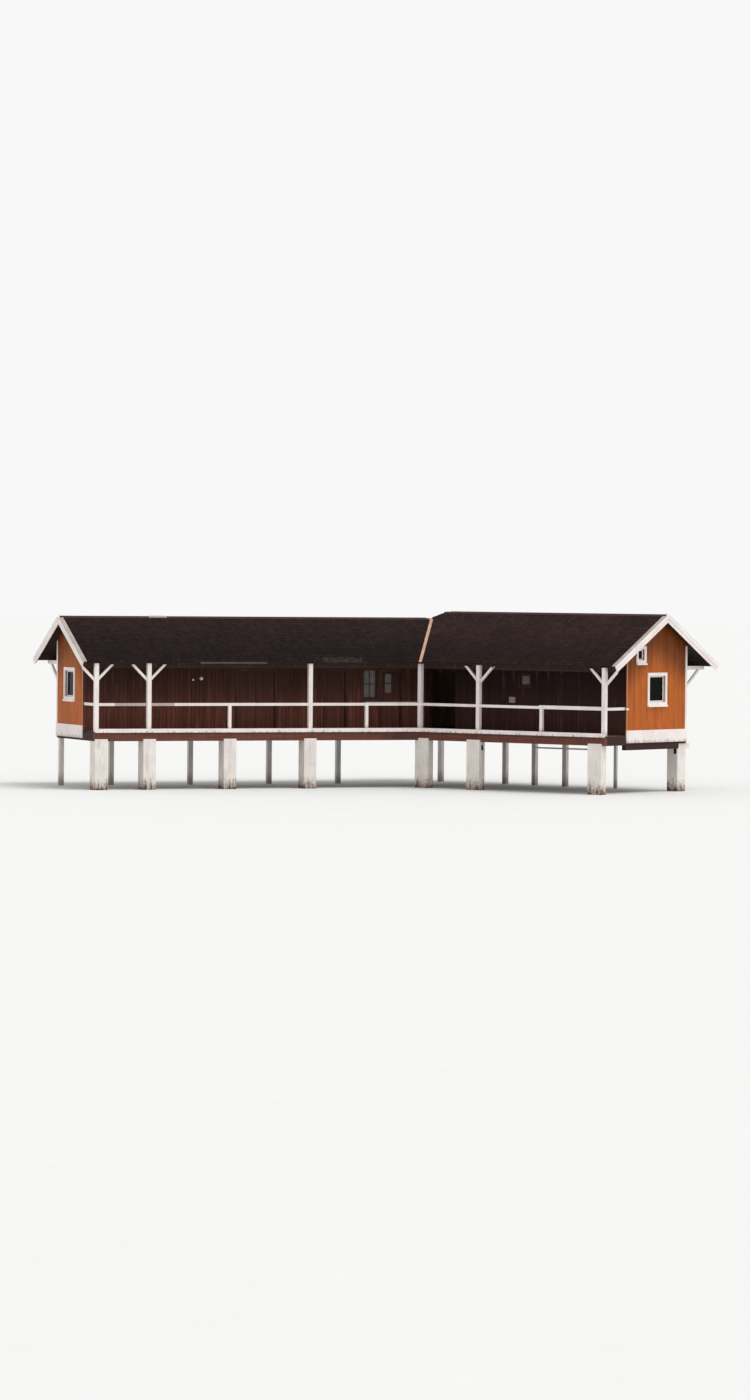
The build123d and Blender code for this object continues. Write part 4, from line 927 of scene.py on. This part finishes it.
def wall_boards(
    piece, face, span, foot, top, holes, rng, breaks=(), thick=BOARD_T, width=BOARD_W, open_by=0
):
    """Boards on a face, along a span of it.

    face: the axis it looks along, its place on that axis, and 1 or -1 for which way it looks.
    top: their height, or what gives it at a place. breaks: places where the top has a corner.
    holes: (from, to, sill, head) of what is left open. open_by: every so many joints is wide.
    """
    axis, at, out = face
    height = top if callable(top) else lambda t: top
    corners_at = [c for h in holes for c in h[:2]] + list(breaks)
    t, t1 = span
    count = 0

    def place(t, depth):
        """Plan point of a place along the face, this far out from it."""
        across = at + out * depth
        return (t, across) if axis else (across, t)

    while t < t1 - BOARD_GAP:
        count += 1
        end = min(t1, t + width * rng.uniform(0.94, 1.06))
        if t1 - end < THINNEST:
            end = t1
        gap = WIDE_GAP if open_by and count % open_by == 0 else BOARD_GAP
        a, b = t, end - gap
        t = end
        tone = rng.random()
        cuts = sorted({a, b} | {c for c in corners_at if a < c < b})
        for c0, c1 in zip(cuts, cuts[1:]):
            spans = [(foot, None)]
            middle = (c0 + c1) / 2
            for h0, h1, low, high in holes:
                if h0 < middle < h1:
                    spans = [part for s in spans for part in ((s[0], low), (high, s[1]))]
            e0 = BEVEL if c0 == a else 0
            e1 = BEVEL if c1 == b else 0
            ring = [place(c0, 0), place(c1, 0), place(c1 - e1, thick), place(c0 + e0, thick)]
            for low, high in spans:
                z0, z1 = (height(c0), height(c1)) if high is None else (high, high)
                if min(z0, z1) - low < SHORTEST:
                    continue
                tops = [(*p, z) for p, z in zip(ring, (z0, z1, z1, z0))]
                piece.solid([(*p, low) for p in ring], tops, tone=tone)


# Openings, as boxes or as (from, to, sill, head) along each wing
TRIM_W = 0.06
TRIM_T = 0.026
JAMB_JOINT = 0.018
DOORS = [(b[0].x + CASING_W, b[1].x - CASING_W) for b in solids_in("door_casings", WING_A)]
DOORS.sort(reverse=True)
SASHES_A = squared("window_sashes", WING_A, 1, SASH_T)
SASHES_B = squared("window_sashes", WING_B, 1, SASH_T)
FRONT_A = [b for b in SASHES_A if b[0].y < RIDGE_A]
FRONT_B = [b for b in SASHES_B if b[0].y < RIDGE_B]
REAR_A = [b for b in SASHES_A if b[0].y > RIDGE_A]
REAR_B = [b for b in SASHES_B if b[0].y > RIDGE_B]
PASSAGE = squared("wall_heads", WING_B, 1, WALL_T)[0]


def holes_of(boxes):
    """Holes in the boards for windows and their trim."""
    w = TRIM_W
    return [(b[0].x - w, b[1].x + w, b[0].z - w, b[1].z + w) for b in boxes]


def eave_top(distance):
    """Height of the rafters' underside this far in from an eave."""
    return EAVE_Z + (distance - BOARD_T) * SLOPE - UNDER_RAFTER


JAMBS = [(a - CASING_W - JAMB_JOINT, b + CASING_W, 0, DOOR_TOP + CASING_W) for a, b in DOORS]
OPEN_BEND = [(PASSAGE[0].x, PASSAGE[1].x, 0, DOOR_TOP)]

# Faces of the dark walls: where each looks, its ends, its distance from the eave, its holes
FRONT_FACE = (1, GALLERY, -1)
FACE_A = (FRONT_FACE, (END_A, GALLERY * MITRE - BOARD_T), GALLERY - EAVE_Y, JAMBS + holes_of(FRONT_A))
START_B = BOARD_T - GALLERY * MITRE
FACE_B = (FRONT_FACE, (START_B, END_B), GALLERY - EAVE_Y, OPEN_BEND + holes_of(FRONT_B))
REAR_END_A = along_a(WALL_CORNER) - 2 * BOARD_T
REAR_FACE_A = ((1, BACK_A, 1), (END_A, REAR_END_A), BACK_EAVE_A - BACK_A, holes_of(REAR_A))
REAR_FACE_B = ((1, BACK_B, 1), (WALL_LEFT - BOARD_T, END_B), BACK_EAVE_B - BACK_B, holes_of(REAR_B))
LEFT_FACE_B = ((0, WALL_LEFT, -1), (WALL_CORNER[1] + BOARD_T, BACK_B), WALL_LEFT - HIP_EAVE, [])

wall_rng = random.Random(21)
for name, material, wing, settings, faces in (
    ("boards_a_front", GALLERY_A_PAINTED_LIGHT, WING_A, GALLERY_BOARDS, [FACE_A]),
    ("boards_b_front", GALLERY_B_PAINTED_SHADE, WING_B, GALLERY_BOARDS, [FACE_B]),
    ("boards_a_back", DARK_BOARD, WING_A, {}, [REAR_FACE_A]),
    ("boards_b_back", DARK_BOARD, WING_B, {}, [REAR_FACE_B, LEFT_FACE_B]),
):
    boards = Piece()
    for face, ends, distance, holes in faces:
        wall_boards(boards, face, ends, WALL_FOOT, eave_top(distance), holes, wall_rng, **settings)
    boards.make(name, material, "dark_wall", wing)

GABLE_LAP = 0.02
UNDER_ROOF = 0.004
CASING_DEEPEST = 0.12
ON_FACE = 0.01


def gable_boards(name, material, face, out, back, ridge, wing):
    """Boards of one gable, up to the roof and round the casings of its windows."""
    holes = []
    for low, high in solids_in("gable_windows", wing):
        inner = low.x if out > 0 else high.x
        if abs(inner - face) < ON_FACE and abs(high.x - low.x) < CASING_DEEPEST:
            lap = GABLE_LAP
            holes.append((low.y + lap, high.y - lap, low.z + lap, high.z - lap))

    def top(t):
        front = EAVE_Z + (t - EAVE_Y) * SLOPE
        behind = EAVE_Z + (2 * ridge - EAVE_Y - t) * SLOPE
        return min(front, behind) - ROOF_DROP - UNDER_ROOF

    piece = Piece()
    wall_boards(piece, (0, face, out), (GALLERY, back), SKIRT_Z1, top, holes, wall_rng, (ridge,))
    piece.make(name, material, "orange_wall", wing)


gable_boards("boards_gable_b", ORANGE_B, END_B, 1, BACK_B, RIDGE_B, WING_B)
gable_boards("boards_gable_a", ORANGE_A, END_A, -1, BACK_A, RIDGE_A, WING_A)

# Trim round the dark windows and the bars across them
SILL_H = 0.03
SILL_OUT = 0.03
BAR_W = 0.032
BAR_T = 0.04
BAR_STEP = 0.002
SASH_RIM = 0.05


def trim_ring(piece, box, face, out):
    """Four boards and a sill round a window, on a face that looks along out."""
    x0, x1, z0, z1 = box[0].x, box[1].x, box[0].z, box[1].z
    w = TRIM_W
    y0, y1 = sorted((face, face + out * TRIM_T))
    piece.block((x0 - w, y0, z0 - w), (x0, y1, z1 + w))
    piece.block((x1, y0, z0 - w), (x1 + w, y1, z1 + w))
    piece.block((x0, y0, z1), (x1, y1, z1 + w))
    piece.block((x0, y0, z0 - w), (x1, y1, z0))
    y0, y1 = sorted((face, face + out * (TRIM_T + SILL_OUT)))
    piece.block((x0 - w, y0, z0 - w - SILL_H), (x1 + w, y1, z0 - w))


def cross_bars(piece, box):
    """An upright and a level bar across a sash."""
    middle = (box[0] + box[1]) / 2
    half = BAR_W / 2
    y0, y1 = middle.y - BAR_T / 2, middle.y + BAR_T / 2
    x0, x1 = middle.x - half, middle.x + half
    piece.block((x0, y0, box[0].z + SASH_RIM), (x1, y1, box[1].z - SASH_RIM))
    y0, y1 = y0 + BAR_STEP, y1 - BAR_STEP
    for low, high in ((box[0].x + SASH_RIM, x0), (x1, box[1].x - SASH_RIM)):
        piece.block((low, y0, middle.z - half), (high, y1, middle.z + half))


for side, wing, front, rear, back, barred in (
    ("a", WING_A, FRONT_A, REAR_A, BACK_A, REAR_A + FRONT_A),
    ("b", WING_B, FRONT_B, REAR_B, BACK_B, REAR_B),
):
    trim = Piece()
    for box in front:
        trim_ring(trim, box, GALLERY, -1)
    for box in rear:
        trim_ring(trim, box, back, 1)
    bars = Piece()
    for box in barred:
        cross_bars(bars, box)
    trim.make("window_trim_" + side, DOOR_BOARD, "door_wood", wing)
    bars.make("window_bars_" + side, DOOR_BOARD, "door_wood", wing)

# Boards and handles on the gallery face of the door leaves, riding with them
LEAF_BOARDS = {"thick": 0.012, "width": 0.1}
LEAF_INSET = 0.006
PAIR_INSET = 0.01
LEAF_GAP = 0.008
LEAF_FACE = box_in("door_1", WING_A)[0].y
SLOT = box_in("door_1_glass", WING_A)
SLOT_BAR_W = 0.044
HANDLE_RISE = 1.05
HANDLE_IN = 0.06
PLATE_HALF_W, PLATE_DOWN, PLATE_UP, PLATE_T = 0.018, 0.13, 0.07, 0.004
LEVER_LONG, LEVER_HALF = 0.115, 0.009
LEVER_NEAR, LEVER_FAR = 0.04, 0.054
NECK_R = 0.011
KEYHOLE_DOWN = 0.085
TO_GALLERY = (0, -1, 0)


def handle(node, leaf, x, side):
    """Plate, neck, lever and keyhole ring. side: which end of the leaf they are at."""
    z = FLOOR + HANDLE_RISE
    y = LEAF_FACE - LEAF_BOARDS["thick"]
    tip = x - side * LEVER_LONG
    piece = Piece()
    piece.block(
        (x - PLATE_HALF_W, y - PLATE_T, z - PLATE_DOWN),
        (x + PLATE_HALF_W, y, z + PLATE_UP),
        edge=0.003,
    )
    piece.knob((x, y - 0.002, z), TO_GALLERY, NECK_R, 0.045, 10, 0.9)
    piece.block(
        (min(x, tip), y - LEVER_FAR, z - LEVER_HALF),
        (max(x, tip), y - LEVER_NEAR, z + LEVER_HALF),
        edge=0.004,
    )
    piece.loop((x, y - 0.005, z - KEYHOLE_DOWN), (0, 1, 0), 0.009, 0.003, 10)
    piece.make("handle_" + node, STEEL, "hinge_metal", WING_A, leaf)


def dress_leaf(leaf, node, ends, inset, holes, side, seed):
    """Boards and handle of a leaf. side: which end its handle is at, or 0 for none."""
    low, high = box_in(node, WING_A)
    x0, x1 = ends
    face = (1, LEAF_FACE, -1)
    span = (x0 + inset, x1 - inset + BOARD_GAP)
    leaf_rng = random.Random(seed)
    boards = Piece()
    wall_boards(boards, face, span, low.z + inset, high.z - inset, holes, leaf_rng, **LEAF_BOARDS)
    boards.make("boards_" + node, DOOR_BOARD, "door_wood", WING_A, leaf)
    if side:
        handle(node, leaf, x0 + HANDLE_IN if side < 0 else x1 - HANDLE_IN, side)


slot_hole = (SLOT[0].x, SLOT[1].x, SLOT[0].z, SLOT[1].z)
leaf_ends = [(a + LEAF_GAP, b - LEAF_GAP) for a, b in DOORS]
meeting = sum(DOORS[2]) / 2
left_ends = (leaf_ends[2][0], meeting - LEAF_GAP / 2)
right_ends = (meeting + LEAF_GAP / 2, leaf_ends[2][1])
dress_leaf("leaf_1", "door_1", leaf_ends[0], LEAF_INSET, [slot_hole], -1, 31)
dress_leaf("leaf_2", "door_2", leaf_ends[1], LEAF_INSET, [], 1, 32)
dress_leaf("leaf_3_left", "door_3_left", left_ends, PAIR_INSET, [], 0, 33)
dress_leaf("leaf_3_right", "door_3_right", right_ends, PAIR_INSET, [], -1, 34)
slot_bar = Piece()
slot_middle = (SLOT[0].z + SLOT[1].z) / 2
slot_bar.block(
    (SLOT[0].x, LEAF_FACE - 0.005, slot_middle - SLOT_BAR_W / 2),
    (SLOT[1].x, SLOT[0].y - 0.001, slot_middle + SLOT_BAR_W / 2),
)
slot_bar.make("slot_bar", DOOR_BOARD, "door_wood", WING_A, "leaf_1")

# Cap boards on all rails, a second board on two, and the cleat at the end rail
CAP_T = 0.03
CAP_OUT = 0.01
COVER_T = 0.032
COVER_EDGE = 0.004
COVER_Z0 = RAIL_Z1 + CAP_T
COVER_Z1 = COVER_Z0 + COVER_T
GREY_FROM, GREY_HALF = -2.3, 0.058
WHITE_FROM, WHITE_HALF = 5.7, 0.05
for side, wing, white in (("a", WING_A, WHITE_CAP), ("b", WING_B, WHITE_MADE)):
    caps = Piece()
    for axis in (0, 1):
        for low, high in squared("top_rails", wing, axis, RAIL_W):
            low[axis] -= CAP_OUT
            high[axis] += CAP_OUT
            caps.block((low.x, low.y, RAIL_Z1), (high.x, high.y, COVER_Z0), COVER_EDGE)
    caps.make("rail_caps_" + side, white, "white_paint", wing)
grey = Piece()
grey_end = (-HALF_POST - 0.02, GREY_HALF, COVER_Z1)
grey.block((GREY_FROM, -GREY_HALF, COVER_Z0), grey_end, COVER_EDGE)
grey.make("rail_cover_a", GREY_BOARD, "white_paint", WING_A)
white = Piece()
white_end = (END_B - 2 * HALF_POST, WHITE_HALF, COVER_Z1)
white.block((WHITE_FROM, -WHITE_HALF, COVER_Z0), white_end, COVER_EDGE)
cleat_low = (END_B + 0.025, GALLERY - 0.06, RAIL_Z0)
white.block(cleat_low, (END_B + 0.06, GALLERY + 0.1, RAIL_Z1), COVER_EDGE)
white.make("rail_cover_b", WHITE_MADE, "white_paint")

# Block at the inner corner of the back walls, where the beams of the two wings meet
CORNER_GAP = 0.12
corner = Vector((*WALL_CORNER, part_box("long_beams")[0].z))
block = Piece()
block.block(corner, (corner.x + CROSS_BEAM_W, corner.y + CORNER_GAP, BEAM_TOP))
block.make("beam_corner_block", BEAM_Y, "beam_stain")

# Small things on the gallery walls: a round lamp and a sensor, and a connection box
WALL_FACE = GALLERY - BOARD_T
LAMP_AT = (-8.55, WALL_FACE, 4.18)
LAMP = [(-0.002, 0.07), (0.014, 0.07), (0.018, 0.062), (0.05, 0.058), (0.072, 0.044), (0.082, 0.022)]
SENSOR_AT = (-8.88, WALL_FACE, 4.13)
SENSOR = [(-0.002, 0.034), (0.02, 0.034), (0.03, 0.02)]
BOX_X, BOX_Z = 3.5, 3.45
BOX_LID = WALL_FACE - 0.07
BOX_FRONT = WALL_FACE - 0.082
lamp = Piece()
lamp.lathe(LAMP_AT, TO_GALLERY, LAMP, 24)
lamp.lathe(SENSOR_AT, TO_GALLERY, SENSOR, 16)
lamp.make("wall_lamp", LAMP_WHITE, "white_paint", WING_A)
box = Piece()
for w, h, y0, y1, edge in (
    (0.13, 0.1, BOX_LID, WALL_FACE + 0.002, 0.006),
    (0.14, 0.11, BOX_FRONT, BOX_LID, 0.004),
):
    box.block((BOX_X - w, y0, BOX_Z - h), (BOX_X + w, y1, BOX_Z + h), edge)
for x in (BOX_X - 0.12, BOX_X + 0.12):
    for z in (BOX_Z - 0.09, BOX_Z + 0.09):
        box.knob((x, BOX_FRONT, z), TO_GALLERY, 0.007, 0.004)
box.make("connection_box", BOX_GREY, "white_paint")

# Black mooring plates with an eye and a ring, on two of the piers
FRONT_PIERS = sorted(squared("piers", WING_B, 1, PIER_DEEP["b"]), key=lambda b: b[0].x)
CORNER_PIER = squared("piers", WING_B, 1, CORNER_PIER_DEEP)[0]
MOORING_T = 0.008
SUNK = 0.002
BOLT_IN = 0.02
EYE_OUT = 0.028
RING_DOWN = 0.062


def mooring(piece, centre, out, width, height):
    """Plate bolted to a face that looks along out, with an eye and a ring."""
    out = Vector(out)
    side = Vector((-out.y, out.x, 0))
    z0, z1 = centre[2] - height / 2, centre[2] + height / 2
    centre = Vector(centre)
    corner = [centre + side * a * width / 2 for a in (-1, 1)]
    near, far = out * -SUNK, out * MOORING_T
    ring = [corner[0] + near, corner[1] + near, corner[1] + far, corner[0] + far]
    piece.solid([(p.x, p.y, z0) for p in ring], [(p.x, p.y, z1) for p in ring])
    for a in (-1, 1):
        for z in (-1, 1):
            aside = side * a * (width / 2 - BOLT_IN)
            at = centre + aside + Vector((0, 0, z * (height / 2 - BOLT_IN)))
            piece.knob(at + far, out, 0.009, 0.007)
    eye = centre + out * EYE_OUT
    piece.loop(eye, side, 0.018, 0.006)
    piece.loop(eye - Vector((0, 0, RING_DOWN)), out, 0.05, 0.007, 20)


moorings = Piece()
pier_low, pier_high = FRONT_PIERS[1]
mooring(moorings, (pier_high.x, (pier_low.y + pier_high.y) / 2, 1.63), (1, 0, 0), 0.1, 0.18)
mooring(moorings, (CORNER_PIER[1].x - 0.11, CORNER_PIER[0].y, 1.55), TO_GALLERY, 0.12, 0.22)
moorings.make("mooring_rings", STEEL, "hinge_metal")

# Bolts through the toe boards into the posts, and through the edge beams over the piers
BOLT = (0.013, 0.009)
TOE_FACE = -0.12
BEAM_FACE = -0.1
TOE_BOLT_RISE = 0.035
for side, wing in (("a", WING_A), ("b", WING_B)):
    bolts = Piece()
    for low, high in squared("gallery_posts", wing, 1, 2 * HALF_POST):
        middle = (low.x + high.x) / 2
        if abs(middle) < HALF_POST:
            continue
        for aside in (-0.04, 0.04):
            at = (middle + aside, TOE_FACE, FLOOR + TOE_BOLT_RISE + aside)
            bolts.knob(at, TO_GALLERY, *BOLT)
    for low, high in squared("piers", wing, 1, PIER_DEEP[side]):
        for x in (low.x + 0.1, high.x - 0.1):
            for z in (BEAM_TOP - 0.05, BEAM_TOP - 0.15):
                bolts.knob((x, BEAM_FACE, z), TO_GALLERY, *BOLT)
    bolts.make("bolts_" + side, BOLT_STEEL, "hinge_metal", wing)

# Stage: floor, light and camera at the photo's viewing angle
AZIMUTH = math.radians(38)
ELEVATION = math.radians(1.4)
ROLL = math.radians(0.5)
DISTANCE = 200
FILM_W = 36
FILL = 0.92
FRAME_SHAPE = 750 / 1400
FLOOR_HALF = 600
SUN = 1.9
SUN_ANGLE = math.radians(35)
SUN_FROM = Vector((0.36, 0.08, 0.93))
SKY = 0.76


def floor():
    """Pale floor at the piers' feet."""
    size = FLOOR_HALF
    square = [(-size, -size, 0), (size, -size, 0), (size, size, 0), (-size, size, 0)]
    mesh = bpy.data.meshes.new("floor")
    mesh.from_pydata(square, [], [(0, 1, 2, 3)])
    mat = Shade("floor", (221, 221, 220))
    mat.brighten(mat.noise(0.8, 3, 0.5), *MID, 0.985, 1)
    mesh.materials.append(mat.finish(0.9))
    placed("floor", mesh)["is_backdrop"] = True


def sky():
    """Even pale surroundings, white to the camera, to reflections and through panes."""
    world = bpy.data.worlds.new("studio")
    bpy.context.scene.world = world
    world.use_nodes = True
    nodes = Nodes(world.node_tree)
    background = nodes.tree.nodes["Background"]
    background.inputs["Color"].default_value = srgb(248, 248, 248)
    path = nodes.add("LightPath").outputs
    seen = nodes.math("MAXIMUM", path["Is Camera Ray"], path["Is Glossy Ray"])
    seen = nodes.math("MAXIMUM", seen, path["Is Transmission Ray"])
    strength = nodes.add("MapRange", seen, 0, 1, SKY, 1).outputs["Result"]
    nodes.link(strength, background.inputs["Strength"])


def sun():
    """Soft light from the upper right."""
    lamp = bpy.data.lights.new("key", "SUN")
    lamp.energy = SUN
    lamp.angle = SUN_ANGLE
    key = placed("key", lamp)
    key.rotation_mode = "QUATERNION"
    key.rotation_quaternion = SUN_FROM.to_track_quat("Z", "Y")


def photo_camera():
    """Camera far off at the photo's angle, the building filling the width."""
    level = math.cos(ELEVATION)
    back = Vector((math.sin(AZIMUTH) * level, -math.cos(AZIMUTH) * level, math.sin(ELEVATION)))
    right = Vector((math.cos(AZIMUTH), math.sin(AZIMUTH), 0))
    across = [right.dot(v.co) for node in NODES.values() for v in node.data.vertices]
    low, high = min(across), max(across)
    middle = (CAD_BOX[0] + CAD_BOX[1]) / 2
    middle += right * ((low + high) / 2 - right.dot(middle))
    camera = placed("camera", bpy.data.cameras.new("camera"))
    camera.location = middle + back * DISTANCE
    camera.rotation_mode = "QUATERNION"
    roll = Matrix.Rotation(ROLL, 3, "Z").to_quaternion()
    camera.rotation_quaternion = (-back).to_track_quat("-Z", "Y") @ roll
    camera.data.sensor_width = FILM_W
    camera.data.lens = FILM_W * DISTANCE * FRAME_SHAPE * FILL / (high - low)
    camera.data.clip_end = 2000
    bpy.context.scene.camera = camera
    bpy.context.scene.view_settings.view_transform = "Standard"


floor()
sky()
sun()
photo_camera()
low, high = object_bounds()
